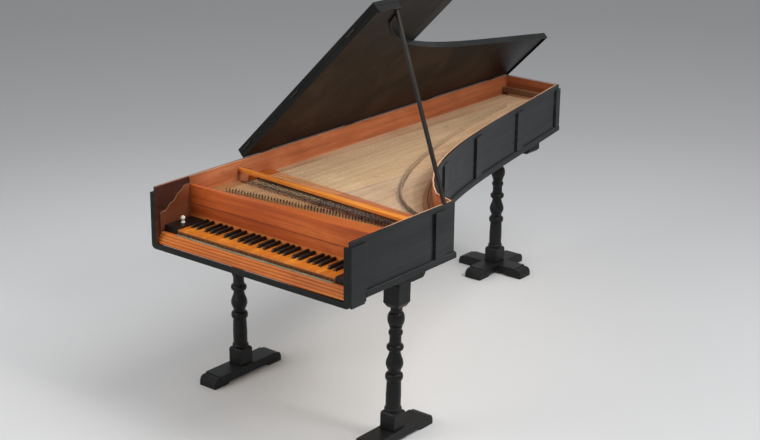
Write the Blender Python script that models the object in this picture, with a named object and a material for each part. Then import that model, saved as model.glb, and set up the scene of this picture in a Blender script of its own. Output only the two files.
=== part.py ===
"""Early wing-shaped fortepiano: case, lid, keyboard, striking action and three turned stands.

The instrument's own frame: x runs from the spine to the cheek, y from the keyboard to the tail,
z up from the floor. Lengths are in metres.
"""

import math

import bmesh
import bpy
from mathutils import Matrix, Vector

# Case
CASE_WIDTH = 0.942
CASE_LENGTH = 2.286
RIM_TOP = 0.865
CASE_BOTTOM = 0.647
WALL = 0.009
LINING = 0.005
BOTTOM_THICKNESS = 0.015
CHEEK_LENGTH = 0.599
RETURN_DEPTH = 0.097
RETURN_SET_BACK = 0.037
TAIL_WIDTH = 0.295
BENT_SHARES = ((0.55732, 0.18788), (0.50849, 0.46061))
BENT_STEPS = 16

# Outside trim
PILASTER_PROUD = 0.007
PILASTER_TOP = 0.846
PILASTER_WIDTH = 0.062
FRONT_PILASTER_WIDTH = 0.090
PILASTER_STEP = 0.007
TAIL_WRAP = 0.045
TAIL_STOP = 0.002
CHEEK_PILASTER_START = 0.481
CHANNEL_WIDTH = 0.020
CHANNEL_DEPTH = 0.006
BENT_CHANNELS = (0.965, 1.363, 1.803, 2.247)
MOULDING_PROUD = 0.009
MOULDING_HEIGHT = 0.025
MOULDING_BEVEL = 0.005
MOULDING_LIP = 0.005

# Front frame and key slip
FRAME_THICKNESS = 0.012
FRAME_BOTTOM = 0.627
FRAME_RAIL_TOP = 0.647
FRAME_TOP = 0.846
STILE_WIDTH = 0.020
FRAME_CORNER = 0.018
SLIP_DEPTH = 0.0255
SLIP_RISE = 0.0395
SLIP_BACK = 0.0478
SLIP_BASE = 0.028
REEDS = 4
REED_STEPS = 4
REED_BULGE = 0.0030

# Scrolled front of the linings
SCROLL_START = 0.032
SCROLL_SHOULDER = 0.757
SCROLL_END = 0.155
SCROLL_TOP = 0.837
SCROLL_STEPS = 14
SCROLL_POWER = 1.35
SCROLL_WAVES = 3
SCROLL_SWELL = 0.055
SCROLL_PHASE = 2.9

# Keyboard
KEYS_LEFT = 0.082
KEYS_RIGHT = 0.0984
KEY_FRONT = 0.050
SHARP_FRONT = 0.100
KEY_BOTTOM = 0.684
LEVER_THICKNESS = 0.013
NATURAL_TOP = 0.704
SHARP_TOP = 0.716
SHARP_BASE_WIDTH = 0.0112
SHARP_TOP_WIDTH = 0.0088
SHARP_SLOPE = 0.004
KEY_GAP = 0.0006
ARCADE_RADIUS = 0.0082
ARCADE_DEPTH = 0.0012
BALANCE_Y = 0.270
BALANCE_WIDTH = 0.016
KEY_BAR_Y = 0.300
KEY_BAR_DEPTH = 0.014
KEY_BAR_HEIGHT = 0.008
KEY_BAR_LEG = 0.005
OCTAVE_BLOCKS = ("NSNSN", "NSNSNSN")
OCTAVES = 4
LAST_BLOCK = "N"
OCTAVE_GROUPS = ((0, 1), (2, 3), (4, 5), (6, 7, 8, 9))
SILL_Y = 0.062
SILL_HEIGHT = 0.012
FRAME_RAIL_DEPTH = 0.020
BACK_RAIL_Y = 0.400
BATTEN_WIDTH = 0.030
BATTEN_HEIGHT = 0.007
BATTEN_SHARES = (0.25, 0.5, 0.75)

# Keyblocks, nameboard and stop knob
BLOCK_TOP = 0.710
KNOB_PLACE = (0.049, 0.110)
KNOB_HEIGHT = 0.028
KNOB_BASE_RADIUS = 0.008
KNOB_BALL_RADIUS = 0.009
KNOB_NECK_RADIUS = 0.003
KNOB_BASE = (0.003, 0.008)
KNOB_STEPS = 7
NAMEBOARD_Y = 0.187
NAMEBOARD_THICKNESS = 0.012
NAMEBOARD_CLEARANCE = 0.005
NAMEBOARD_LOWER = 0.060
NAMEBOARD_UPPER = 0.073

# Wrestplank, soundboard and string band
SKEW = -0.055
PLANK_REAR = 0.447
PLANK_BOTTOM = 0.755
PLANK_TOP = 0.790
NUT_Y = 0.435
NUT_WIDTH = 0.009
NUT_HEIGHT = 0.008
NUT_SLOPE = 0.003
NUT_RIDGE = 0.002
NUT_END = 0.030
BELLY_FRONT = 0.506
BELLY_THICKNESS = 0.025
BELLY_CAP_DEPTH = (0.118, 0.074)
BELLY_CAP_HEIGHT = 0.014
SOUNDBOARD_TOP = 0.780
SOUNDBOARD_THICKNESS = 0.003
LINER_DEPTH = 0.020
LINER_HEIGHT = 0.035
RIB_WIDTH = 0.012
RIB_HEIGHT = 0.012
RIB_PLACES = (0.70, 0.98, 1.28, 1.60, 1.92)
CUTOFF_INSET = 0.050
BRACE_WIDTH = 0.018
BRACE_HEIGHT = 0.060
BRACE_PLACES = (0.80, 1.15, 1.50, 1.85)
LONG_BRACE_INSET = 0.100
LONG_BRACE_HEIGHT = 0.045
LONG_BRACE_REACH = 0.050
BRIDGE_START = 0.552
BRIDGE_SHARES = ((0.897, 0.0), (0.525, 0.053), (0.305, 0.395), (0.166, 0.870))
BRIDGE_STEPS = 16
BRIDGE_WIDTH = 0.012
BRIDGE_HEIGHT = 0.016
BRIDGE_SLOPE = 0.0025
HITCH_RAIL_WIDTH = 0.034
HITCH_RAIL_HEIGHT = 0.010

# Striking action and dampers
HAMMER_PIVOT = (0.345, 0.728)
HAMMER_ARM = 0.123
HAMMER_RISE = 0.042
HAMMER_SHANK = 0.005
HAMMER_ROD_RADIUS = 0.003
HAMMER_HEAD_RADIUS = 0.006
HAMMER_HEAD_WIDTH = 0.009
HAMMER_RAIL_DEPTH = 0.016
HAMMER_RAIL_HEIGHT = 0.026
HAMMER_RAIL_RISE = 0.011
DAMPER_Y = 0.487
DAMPER_WIDTH = 0.009
DAMPER_THICKNESS = 0.004
DAMPER_HEAD_BOTTOM = 0.8005
DAMPER_TOP = 0.812
DAMPER_HEAD_DEPTH = 0.012
DAMPER_BAR_BOTTOM = 0.735
DAMPER_BAR_HEIGHT = 0.010
DAMPER_BAR_DEPTH = 0.006
DAMPER_RAIL_BACK = (0.463, 0.409)
DAMPER_RAIL_DEPTH = (0.017, 0.034)
DAMPER_RAIL_TOP = 0.8375
DAMPER_RAIL_THICKNESS = 0.012

# Lid, flap, fall board and prop
LID_ANGLE = math.radians(45.0)
LID_SEAT = 0.0006
LID_THICKNESS = 0.020
LID_FRONT = 0.490
LID_OVERHANG = 0.006
LID_RETURN_REACH = 0.010
LID_LIP = 0.007
FLAP_GAP = 0.0006
FLAP_THICKNESS = 0.018
FALL_LENGTH = 0.075
FALL_THICKNESS = 0.014
PROP_SIDE = 0.0125
PROP_FOOT_SET_BACK = 0.053
PROP_TOP_INSET = 0.011
PROP_TOP_AHEAD = 0.003

# Stands
LEFT_STAND = (0.050, 0.405)
RIGHT_STAND = (0.067, 0.337)
REAR_STAND = (0.150, 0.264)
FOOT_WIDTH = 0.084
FOOT_LENGTH = 0.385
FOOT_HEIGHT = 0.045
FOOT_ARCH = 0.010
FOOT_PAD = 0.075
FOOT_STEP = (0.034, 0.0045)
FOOT_NOSE = ((0.018, 0.0045), (0.006, 0.011), (0.0, 0.025))
REAR_FOOT_LENGTH = 0.350
BAR_THICKNESS = 0.030
REAR_BAR_THICKNESS = 0.040
BAR_WIDTH = 0.084
BAR_REACH = (0.046, 0.110)
REAR_BAR_REACH = (0.140, 0.190)
BASE_BLOCK = 0.066
BASE_BLOCK_HEIGHT = 0.068
CAPITAL_BLOCK = 0.070
CAPITAL_BOTTOM = 0.5224
CAPITAL_TAPER = 0.018
CAPITAL_NECK = 0.70
BAR_CHAMFER = 0.012
BASE_TAPER = 0.008
BASE_NECK = 0.88
LEANS = {"front_left": -0.008, "front_right": 0.014, "rear": 0.006}
TURNING_SIDES = 14
BEAD_STEPS = 3
EASE_STEPS = 4
TURNING = (
    ("bead", 0.000, 0.038, 0.0280, 0.0324),
    ("cone", 0.157, 0.295, 0.0285, 0.0265),
    ("bead", 0.299, 0.367, 0.0265, 0.0333),
    ("ease", 0.372, 0.459, 0.0226, 0.0324),
    ("ease", 0.459, 0.575, 0.0324, 0.0212),
    ("bead", 0.587, 0.645, 0.0235, 0.0315),
    ("cone", 0.669, 0.713, 0.0217, 0.0217),
    ("bead", 0.734, 0.778, 0.0225, 0.0264),
    ("cone", 0.800, 0.802, 0.0218, 0.0222),
    ("cone", 0.814, 0.824, 0.0246, 0.0246),
    ("bead", 0.826, 0.952, 0.0215, 0.0315),
    ("cone", 0.988, 1.000, 0.0220, 0.0220),
)

GAP = 0.0003
BITE = 0.001

INNER = WALL + GAP
LINED = INNER + LINING
FLOOR_TOP = CASE_BOTTOM + BOTTOM_THICKNESS
SLIP_TOP = FRAME_RAIL_TOP + SLIP_RISE
LEVER_TOP = KEY_BOTTOM + LEVER_THICKNESS
HINGE_HEIGHT = RIM_TOP + LID_SEAT
NAMEBOARD_BOTTOM = LEVER_TOP + NAMEBOARD_CLEARANCE
KEY_BLOCKS = list(OCTAVE_BLOCKS) * OCTAVES + [OCTAVE_BLOCKS[0], LAST_BLOCK]
NATURALS = sum(block.count("N") for block in KEY_BLOCKS)
NATURAL_PITCH = (CASE_WIDTH - KEYS_LEFT - KEYS_RIGHT) / NATURALS
KEYS_END = CASE_WIDTH - KEYS_RIGHT


def remove_everything():
    """Empty the scene that the script starts in."""
    for item in list(bpy.data.objects):
        bpy.data.objects.remove(item, do_unlink=True)


def material(name, colour, roughness, metallic=0.0):
    """Principled material of one colour."""
    made = bpy.data.materials.new(name)
    made.use_nodes = True
    shader = made.node_tree.nodes["Principled BSDF"]
    shader.inputs["Base Color"].default_value = (*colour, 1.0)
    shader.inputs["Roughness"].default_value = roughness
    shader.inputs["Metallic"].default_value = metallic
    return made


def empty(name, parent=None, location=(0, 0, 0)):
    """Empty that carries what moves together."""
    made = bpy.data.objects.new(name, None)
    bpy.context.scene.collection.objects.link(made)
    made.parent = parent
    made.location = location
    return made


def node(name, solid, finish, parent, pivot=(0, 0, 0), smooth=None):
    """Object of one piece: its mesh is given in its parent's frame and its origin is the pivot."""
    bmesh.ops.translate(solid, verts=solid.verts, vec=-Vector(pivot))
    bmesh.ops.remove_doubles(solid, verts=solid.verts, dist=1e-6)
    bmesh.ops.recalc_face_normals(solid, faces=solid.faces)
    mesh = bpy.data.meshes.new(name)
    solid.to_mesh(mesh)
    solid.free()
    mesh.materials.append(finish)
    if smooth is not None:
        mesh.shade_smooth()
        mesh.set_sharp_from_angle(angle=math.radians(smooth))
    made = bpy.data.objects.new(name, mesh)
    bpy.context.scene.collection.objects.link(made)
    made.parent = parent
    made.location = pivot
    return made


def loft(rings, solid=None):
    """Closed solid through rings of equally many points, capped at both ends."""
    solid = solid or bmesh.new()
    loops = [[solid.verts.new(point) for point in ring] for ring in rings]
    for first, second in zip(loops, loops[1:]):
        for index in range(len(first)):
            after = (index + 1) % len(first)
            solid.faces.new((first[index], first[after], second[after], second[index]))
    solid.faces.new(list(reversed(loops[0])))
    solid.faces.new(loops[-1])
    return solid


def plate(outline, low, high, solid=None):
    """Plan outline raised from one height to another."""
    rings = [[(x, y, z) for x, y in outline] for z in (low, high)]
    return loft(rings, solid)


def across(profile, left, right, solid=None):
    """Side profile of y and z points drawn across from one x to another."""
    rings = [[(x, y, z) for y, z in profile] for x in (left, right)]
    return loft(rings, solid)


def box(low, high, solid=None):
    """Upright block between two corners."""
    corners = [(low[0], low[1]), (high[0], low[1]), (high[0], high[1]), (low[0], high[1])]
    return plate(corners, low[2], high[2], solid)


def tapered(low, high, inset, solid=None):
    """Block whose top is drawn in on each side: left and right, then front."""
    side, front = inset
    base = [(low[0], low[1]), (high[0], low[1]), (high[0], high[1]), (low[0], high[1])]
    top = [(low[0] + side, low[1] + front), (high[0] - side, low[1] + front),
           (high[0] - side, high[1]), (low[0] + side, high[1])]
    rings = [[(x, y, low[2]) for x, y in base], [(x, y, high[2]) for x, y in top]]
    return loft(rings, solid)


def turned(profile, centre, sides=TURNING_SIDES, solid=None):
    """Turned solid from (height, radius) points, bottom to top."""
    turns = [2 * math.pi * (step + 0.5) / sides for step in range(sides)]
    rings = [[(centre[0] + radius * math.cos(turn), centre[1] + radius * math.sin(turn), height)
              for turn in turns] for height, radius in profile]
    return loft(rings, solid)


def rod(start, end, radius, sides=8, solid=None):
    """Round bar between two points."""
    start, end = Vector(start), Vector(end)
    turn = (end - start).to_track_quat("Z", "Y")
    angles = [2 * math.pi * (step + 0.5) / sides for step in range(sides)]
    circle = [turn @ Vector((radius * math.cos(angle), radius * math.sin(angle), 0)) for angle in angles]
    return loft([[start + point for point in circle], [end + point for point in circle]], solid)


def boolean(operation, first, second):
    """Exact union or difference of two solids, which it uses up."""
    pieces = []
    for label, solid in (("first", first), ("second", second)):
        bmesh.ops.recalc_face_normals(solid, faces=solid.faces)
        mesh = bpy.data.meshes.new(label)
        solid.to_mesh(mesh)
        solid.free()
        piece = bpy.data.objects.new(label, mesh)
        bpy.context.scene.collection.objects.link(piece)
        pieces.append(piece)
    tool = pieces[0].modifiers.new("boolean", "BOOLEAN")
    tool.operation = operation
    tool.object = pieces[1]
    result = bmesh.new()
    result.from_object(pieces[0], bpy.context.evaluated_depsgraph_get())
    for piece in pieces:
        mesh = piece.data
        bpy.data.objects.remove(piece, do_unlink=True)
        bpy.data.meshes.remove(mesh)
    bmesh.ops.remove_doubles(result, verts=result.verts, dist=1e-6)
    bmesh.ops.dissolve_limit(result, angle_limit=0.0002, verts=result.verts, edges=result.edges)
    return result


def joined(*solids):
    """Union of solids that cross each other."""
    result = solids[0]
    for solid in solids[1:]:
        result = boolean("UNION", result, solid)
    return result


def bezier(points, start, end, steps):
    """Points of a cubic Bezier curve between two parameters."""
    places = []
    for step in range(steps + 1):
        t = start + (end - start) * step / steps
        weights = ((1 - t) ** 3, 3 * (1 - t) ** 2 * t, 3 * (1 - t) * t * t, t ** 3)
        places.append(tuple(sum(w * p[axis] for w, p in zip(weights, points)) for axis in (0, 1)))
    return places


def inward(path, distance):
    """Plan path moved to its left by a distance, with mitred corners."""
    moved = []
    for index, point in enumerate(path):
        normals = []
        for first, second in ((index - 1, index), (index, index + 1)):
            if first >= 0 and second < len(path):
                run = Vector(path[second]) - Vector(path[first])
                normals.append(Vector((-run.y, run.x)).normalized())
        if len(normals) == 1:
            mitre = normals[0]
        else:
            mitre = (normals[0] + normals[1]) / (1 + normals[0].dot(normals[1]))
        moved.append(tuple(Vector(point) + mitre * distance))
    return moved


def swept(path, section, first=0, last=None, pull=GAP / 2, solid=None):
    """Section of (inward distance, height) points drawn along part of a plan path.

    Each end is pulled in along the path, so neighbours keep a joint between them.
    """
    last = len(path) - 1 if last is None else last
    rings = [[] for _ in range(first, last + 1)]
    for distance, height in section:
        line = inward(path, distance)[first:last + 1]
        start = Vector(path[first + 1]) - Vector(path[first])
        end = Vector(path[last - 1]) - Vector(path[last])
        line[0] = tuple(Vector(line[0]) + start.normalized() * pull)
        line[-1] = tuple(Vector(line[-1]) + end.normalized() * pull)
        for ring, place in zip(rings, line):
            ring.append((place[0], place[1], height))
    return loft(rings, solid)


BENT_START = (CASE_WIDTH - RETURN_DEPTH, CHEEK_LENGTH + RETURN_SET_BACK)
BENT_REACH = CASE_LENGTH - BENT_START[1]
BENT_HANDLES = tuple((CASE_WIDTH * x, BENT_START[1] + BENT_REACH * y) for x, y in BENT_SHARES)
BENT_CURVE = (BENT_START, *BENT_HANDLES, (TAIL_WIDTH, CASE_LENGTH))
CASE_PATH = ([(CASE_WIDTH, FRAME_THICKNESS + GAP), (CASE_WIDTH, CHEEK_LENGTH)]
             + bezier(BENT_CURVE, 0.0, 1.0, BENT_STEPS)
             + [(0.0, CASE_LENGTH), (0.0, FRAME_THICKNESS + GAP)])


def corner(name):
    """Where one wall starts in the case's path."""
    if name in ("tail", "spine"):
        return len(CASE_PATH) - (3 if name == "tail" else 2)
    return ("cheek", "return", "bentside").index(name)


def skewed(y, x):
    """A line of the action that runs slightly towards the player in the treble."""
    return y + SKEW * x


def bent_parameter(y):
    """Parameter of the bentside's curve at one y."""
    low, high = 0.0, 1.0
    for _ in range(40):
        middle = (low + high) / 2
        if bezier(BENT_CURVE, middle, middle, 1)[0][1] < y:
            low = middle
        else:
            high = middle
    return (low + high) / 2


def bent_stretch(start, end, steps=2):
    """Part of the bentside's outline between two y values."""
    return bezier(BENT_CURVE, bent_parameter(start), bent_parameter(end), steps)


def interior(distance, front_left, front_right):
    """Plan outline of the space inside the walls, from a straight front edge to the tail."""
    outline = inward(CASE_PATH, distance)
    outline[0] = (outline[0][0], front_right)
    outline[-1] = (outline[-1][0], front_left)
    return outline


def strip_section(outer, inner, low, high):
    """Upright rectangular section between two inward distances."""
    return [(outer, low), (outer, high), (inner, high), (inner, low)]


def channel_cutter(path, low):
    """Cutter for one sunk upright channel."""
    return swept(path, strip_section(-BITE, CHANNEL_DEPTH, low, PILASTER_TOP), pull=0)


def pilaster(path, low):
    """Flat pilaster that bites into the wall it is glued to."""
    return swept(path, strip_section(-PILASTER_PROUD, BITE, low, PILASTER_TOP), pull=0)


def front_pilaster(inside, outside):
    """Front pilaster, which hangs below the case as the front frame does, with a step at its rear."""
    front, back = FRAME_THICKNESS + GAP, FRONT_PILASTER_WIDTH
    profile = [(front, FRAME_BOTTOM), (back - PILASTER_STEP, FRAME_BOTTOM),
               (back - PILASTER_STEP, FRAME_BOTTOM + PILASTER_STEP), (back, FRAME_BOTTOM + PILASTER_STEP),
               (back, PILASTER_TOP), (front, PILASTER_TOP)]
    return across(profile, inside, outside)


def wall(first, last, pilasters=(), channels=()):
    """Outer wall between two corners of the case, with its pilasters and channels."""
    board = swept(CASE_PATH, strip_section(0, WALL, CASE_BOTTOM, RIM_TOP), first, last)
    ledge = CASE_BOTTOM + MOULDING_HEIGHT + GAP
    for path in channels:
        board = boolean("DIFFERENCE", board, channel_cutter(path, ledge))
    for path in pilasters:
        board = joined(board, pilaster(path, ledge))
    return board


def tail_wrap():
    """The last pilaster's turn round the tail's corner, just clear of the tail wall."""
    side = bent_stretch(BENT_CHANNELS[-1] + PILASTER_STEP, CASE_LENGTH, 1)
    path = side + [(TAIL_WIDTH - TAIL_WRAP, CASE_LENGTH)]
    section = strip_section(-PILASTER_PROUD, -2 * GAP, CASE_BOTTOM + MOULDING_HEIGHT + GAP, PILASTER_TOP)
    return swept(path, section, pull=0)


def build_case(parent, black, cypress, pine):
    """Walls, bottom, linings, mouldings and the frame round the keyboard's front."""
    rear = CHEEK_PILASTER_START
    cheek_rear = [(CASE_WIDTH, rear), (CASE_WIDTH, rear + PILASTER_WIDTH)]
    cheek_channel = [(CASE_WIDTH, rear - CHANNEL_WIDTH), (CASE_WIDTH, rear)]
    last = CASE_LENGTH - TAIL_STOP
    bent_pilasters = [bent_stretch(y, min(y + PILASTER_WIDTH, last)) for y in BENT_CHANNELS]
    bent_channels = [bent_stretch(y - CHANNEL_WIDTH, y, 1) for y in BENT_CHANNELS]

    cheek = wall(corner("cheek"), corner("bentside"), [cheek_rear], [cheek_channel])
    cheek = joined(cheek, front_pilaster(CASE_WIDTH - BITE, CASE_WIDTH + PILASTER_PROUD))
    spine = wall(corner("spine"), corner("spine") + 1)
    spine = joined(spine, front_pilaster(-PILASTER_PROUD, BITE))
    node("cheek_wall", cheek, black, parent)
    bentside = wall(corner("bentside"), corner("tail"), bent_pilasters, bent_channels)
    bentside = joined(bentside, tail_wrap())
    node("bentside_wall", bentside, black, parent)
    node("tail_wall", wall(corner("tail"), corner("spine")), black, parent)
    node("spine_wall", spine, black, parent)

    front = SLIP_BASE + GAP
    node("bottom_board", plate(interior(INNER, front, front), CASE_BOTTOM, FLOOR_TOP), pine, parent)

    lined = strip_section(INNER, INNER + LINING, FLOOR_TOP + GAP, RIM_TOP)
    bent_lining = swept(CASE_PATH, lined, corner("bentside"), corner("tail"))
    node("bentside_lining", bent_lining, cypress, parent)
    node("tail_lining", swept(CASE_PATH, lined, corner("tail"), corner("spine")), cypress, parent)
    return_lining = swept(CASE_PATH, lined, corner("return"), corner("bentside"))
    node("return_lining", return_lining, cypress, parent)
    inner_right = CASE_WIDTH - INNER
    cheek_end = inward(CASE_PATH, INNER + LINING)[corner("return")][1] - GAP
    spine_end = CASE_LENGTH - LINED - GAP
    node("cheek_lining", scrolled(inner_right - LINING, inner_right, cheek_end), cypress, parent)
    node("spine_lining", scrolled(INNER, INNER + LINING, spine_end), cypress, parent)

    node("base_moulding", moulding(), black, parent)
    node("front_frame", front_frame(), black, parent)


def scrolled(left, right, end):
    """Lining with a scrolled arm beside the keyboard."""
    low = FLOOR_TOP + GAP
    reach = SCROLL_END - SCROLL_START
    rise = SCROLL_TOP - SCROLL_SHOULDER
    notch = (SLIP_BACK + GAP, SLIP_TOP + GAP)
    profile = [(notch[0], low), notch, (SCROLL_START, notch[1]), (SCROLL_START, SCROLL_SHOULDER)]
    for step in range(1, SCROLL_STEPS):
        share = step / SCROLL_STEPS
        swell = SCROLL_SWELL * math.sin(2 * math.pi * SCROLL_WAVES * share - SCROLL_PHASE)
        height = SCROLL_SHOULDER + rise * (share ** SCROLL_POWER - swell)
        profile.append((SCROLL_START + reach * share, height))
    profile += [(SCROLL_END, SCROLL_TOP), (NAMEBOARD_Y, SCROLL_TOP), (NAMEBOARD_Y, RIM_TOP)]
    profile += [(end, RIM_TOP), (end, low)]
    return across(profile, left, right)


def moulding():
    """Base moulding with a sloped top, from the cheek's front pilaster round to the spine's."""
    top = CASE_BOTTOM + MOULDING_HEIGHT
    section = [(-GAP, CASE_BOTTOM), (-MOULDING_PROUD, CASE_BOTTOM),
               (-MOULDING_PROUD, top - MOULDING_BEVEL), (-MOULDING_LIP, top), (-GAP, top)]
    path = list(CASE_PATH)
    path[0] = (CASE_WIDTH, FRONT_PILASTER_WIDTH + GAP)
    path[-1] = (0.0, FRONT_PILASTER_WIDTH + GAP)
    return swept(path, section, pull=0)


def front_frame():
    """Rail and stiles round the keyboard's opening, with rounded lower corners."""
    left, right = -PILASTER_PROUD, CASE_WIDTH + PILASTER_PROUD
    outline = []
    for centre, start in ((left + FRAME_CORNER, math.pi), (right - FRAME_CORNER, 1.5 * math.pi)):
        for step in range(5):
            turn = start + 0.5 * math.pi * step / 4
            outline.append((centre + FRAME_CORNER * math.cos(turn),
                            FRAME_BOTTOM + FRAME_CORNER + FRAME_CORNER * math.sin(turn)))
    outline += [(right, FRAME_TOP), (CASE_WIDTH - STILE_WIDTH, FRAME_TOP)]
    outline += [(CASE_WIDTH - STILE_WIDTH, FRAME_RAIL_TOP), (STILE_WIDTH, FRAME_RAIL_TOP)]
    outline += [(STILE_WIDTH, FRAME_TOP), (left, FRAME_TOP)]
    return loft([[(x, y, z) for x, z in outline] for y in (0.0, FRAME_THICKNESS)])


def build_front(parent, moving, black, cypress, ivory):
    """Key slip, keyblocks with the knob, and the two boards of the nameboard."""
    low = FLOOR_TOP + GAP
    start = FRAME_THICKNESS + GAP
    slope = Vector((SLIP_DEPTH, SLIP_RISE)).normalized()
    profile = [(SLIP_BACK, low), (SLIP_BASE, low), (SLIP_BASE, FRAME_RAIL_TOP), (start, FRAME_RAIL_TOP)]
    for step in range(1, REEDS * REED_STEPS + 1):
        along = step / (REEDS * REED_STEPS)
        bulge = REED_BULGE * abs(math.sin(math.pi * REEDS * along))
        profile.append((start + SLIP_DEPTH * along - bulge * slope.y,
                        FRAME_RAIL_TOP + SLIP_RISE * along + bulge * slope.x))
    profile.append((SLIP_BACK, SLIP_TOP))
    node("key_slip", across(profile, INNER, CASE_WIDTH - INNER), cypress, parent)

    left, right = LINED + GAP, CASE_WIDTH - LINED - GAP

    block_back = NAMEBOARD_Y - GAP
    left_block = box((left, KEY_FRONT, low), (KEYS_LEFT - GAP, block_back, BLOCK_TOP))
    right_block = box((KEYS_END + GAP, KEY_FRONT, low), (right, block_back, BLOCK_TOP))
    node("keyblock_left", left_block, black, moving["keyblock"], (KNOB_PLACE[0], KNOB_PLACE[1], BLOCK_TOP))
    node("keyblock_right", right_block, black, parent)
    foot = BLOCK_TOP + GAP
    centre = foot + KNOB_HEIGHT - KNOB_BALL_RADIUS
    base, neck = KNOB_BASE
    knob = [(foot, KNOB_BASE_RADIUS), (foot + base, KNOB_BASE_RADIUS), (foot + neck, KNOB_NECK_RADIUS)]
    for step in range(1, KNOB_STEPS):
        turn = math.pi * (step / KNOB_STEPS - 0.5)
        knob.append((centre + KNOB_BALL_RADIUS * math.sin(turn), KNOB_BALL_RADIUS * math.cos(turn)))
    node("stop_knob", turned(knob, KNOB_PLACE, 10), ivory, moving["keyblock"],
         (KNOB_PLACE[0], KNOB_PLACE[1], BLOCK_TOP), smooth=40)

    back = NAMEBOARD_Y + NAMEBOARD_THICKNESS
    split = NAMEBOARD_BOTTOM + NAMEBOARD_LOWER
    lower = box((left, NAMEBOARD_Y, NAMEBOARD_BOTTOM), (right, back, split))
    upper = box((left, NAMEBOARD_Y, split + GAP), (right, back, split + NAMEBOARD_UPPER))
    node("nameboard_lower", lower, cypress, parent)
    node("nameboard_upper", upper, cypress, parent)


def key_table():
    """Each key's kind, block, front edges and tail edges."""
    table = []
    left = KEYS_LEFT
    for number, block in enumerate(KEY_BLOCKS):
        whole = block if len(block) > 1 else OCTAVE_BLOCKS[1]
        slot = NATURAL_PITCH * whole.count("N") / len(whole)
        for index, kind in enumerate(block):
            natural = block[:index].count("N")
            front = (left + natural * NATURAL_PITCH, left + (natural + 1) * NATURAL_PITCH)
            tail = (left + index * slot, left + (index + 1) * slot)
            table.append({"kind": kind, "block": number, "front": front, "tail": tail})
        left += NATURAL_PITCH * block.count("N")
    return table


def tail_end(key):
    """Where a key's lever ends, just behind its damper."""
    return skewed(DAMPER_Y, sum(key["tail"]) / 2) + DAMPER_THICKNESS


def natural_lever(key, left, right, start, cover_end, solid):
    """Natural's tail between the sharps, with the leg under it that meets the group's bar."""
    y0, y1 = KEY_BAR_Y, KEY_BAR_Y + KEY_BAR_DEPTH
    low, high, end = KEY_BOTTOM, LEVER_TOP, tail_end(key)
    leg = low - KEY_BAR_LEG - BITE
    profile = [(start, low), (y0, low), (y0, leg), (y1, leg), (y1, low), (end, low), (end, high),
               (cover_end, high), (cover_end, NATURAL_TOP), (start, NATURAL_TOP)]
    return across(profile, left, right, solid)


def sharp_lever(key, start, solid):
    """Sharp's lever with the leg over it that meets the group's bar."""
    y0, y1 = KEY_BAR_Y, KEY_BAR_Y + KEY_BAR_DEPTH
    low, high, end = KEY_BOTTOM, LEVER_TOP, tail_end(key)
    leg = high + KEY_BAR_LEG + BITE
    profile = [(start, low), (end, low), (end, high), (y1, high), (y1, leg), (y0, leg), (y0, high),
               (start, high)]
    left, right = key["tail"]
    return across(profile, left + KEY_GAP, right - KEY_GAP, solid)


def key_bar(keys, leg_side):
    """Bar across one group of levers, clear of the levers of the other colour."""
    left = min(key["tail"][0] for key in keys) + KEY_GAP + BITE
    right = max(key["tail"][1] for key in keys) - KEY_GAP - BITE
    if leg_side < 0:
        high = KEY_BOTTOM - KEY_BAR_LEG
        low = high - KEY_BAR_HEIGHT
    else:
        low = LEVER_TOP + KEY_BAR_LEG
        high = low + KEY_BAR_HEIGHT
    shy = 0.5 * BITE
    return box((left, KEY_BAR_Y + shy, low), (right, KEY_BAR_Y + KEY_BAR_DEPTH - shy, high))


def naturals(keys):
    """Naturals of one group, with arcaded fronts, joined by a bar under their levers."""
    heads, levers, arcades = bmesh.new(), bmesh.new(), bmesh.new()
    cover_end = NAMEBOARD_Y - 5 * GAP
    notch = SHARP_FRONT - 2 * KEY_GAP
    for key in keys:
        left, right = key["front"][0] + KEY_GAP / 2, key["front"][1] - KEY_GAP / 2
        tail_left, tail_right = key["tail"][0] + KEY_GAP, key["tail"][1] - KEY_GAP
        tail_left, tail_right = max(tail_left, left), min(tail_right, right)
        box((left, KEY_FRONT, KEY_BOTTOM), (right, notch, NATURAL_TOP), heads)
        natural_lever(key, tail_left, tail_right, notch - BITE, cover_end, levers)
        middle = (left + right) / 2
        height = (KEY_BOTTOM + NATURAL_TOP) / 2
        rod((middle, KEY_FRONT - BITE, height), (middle, KEY_FRONT + ARCADE_DEPTH, height),
            ARCADE_RADIUS, 8, arcades)
    return boolean("DIFFERENCE", joined(key_bar(keys, -1), levers, heads), arcades)


def sharps(keys):
    """Sharps of one group, joined by a bar over their levers."""
    blocks, levers = bmesh.new(), bmesh.new()
    back = NAMEBOARD_Y - 5 * GAP
    for key in keys:
        middle = sum(key["tail"]) / 2
        half = SHARP_BASE_WIDTH / 2
        inset = (half - SHARP_TOP_WIDTH / 2, SHARP_SLOPE)
        low, high = LEVER_TOP - BITE, SHARP_TOP
        tapered((middle - half, SHARP_FRONT, low), (middle + half, back, high), inset, blocks)
        sharp_lever(key, SHARP_FRONT + BITE, levers)
    return joined(key_bar(keys, 1), levers, blocks)


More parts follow.
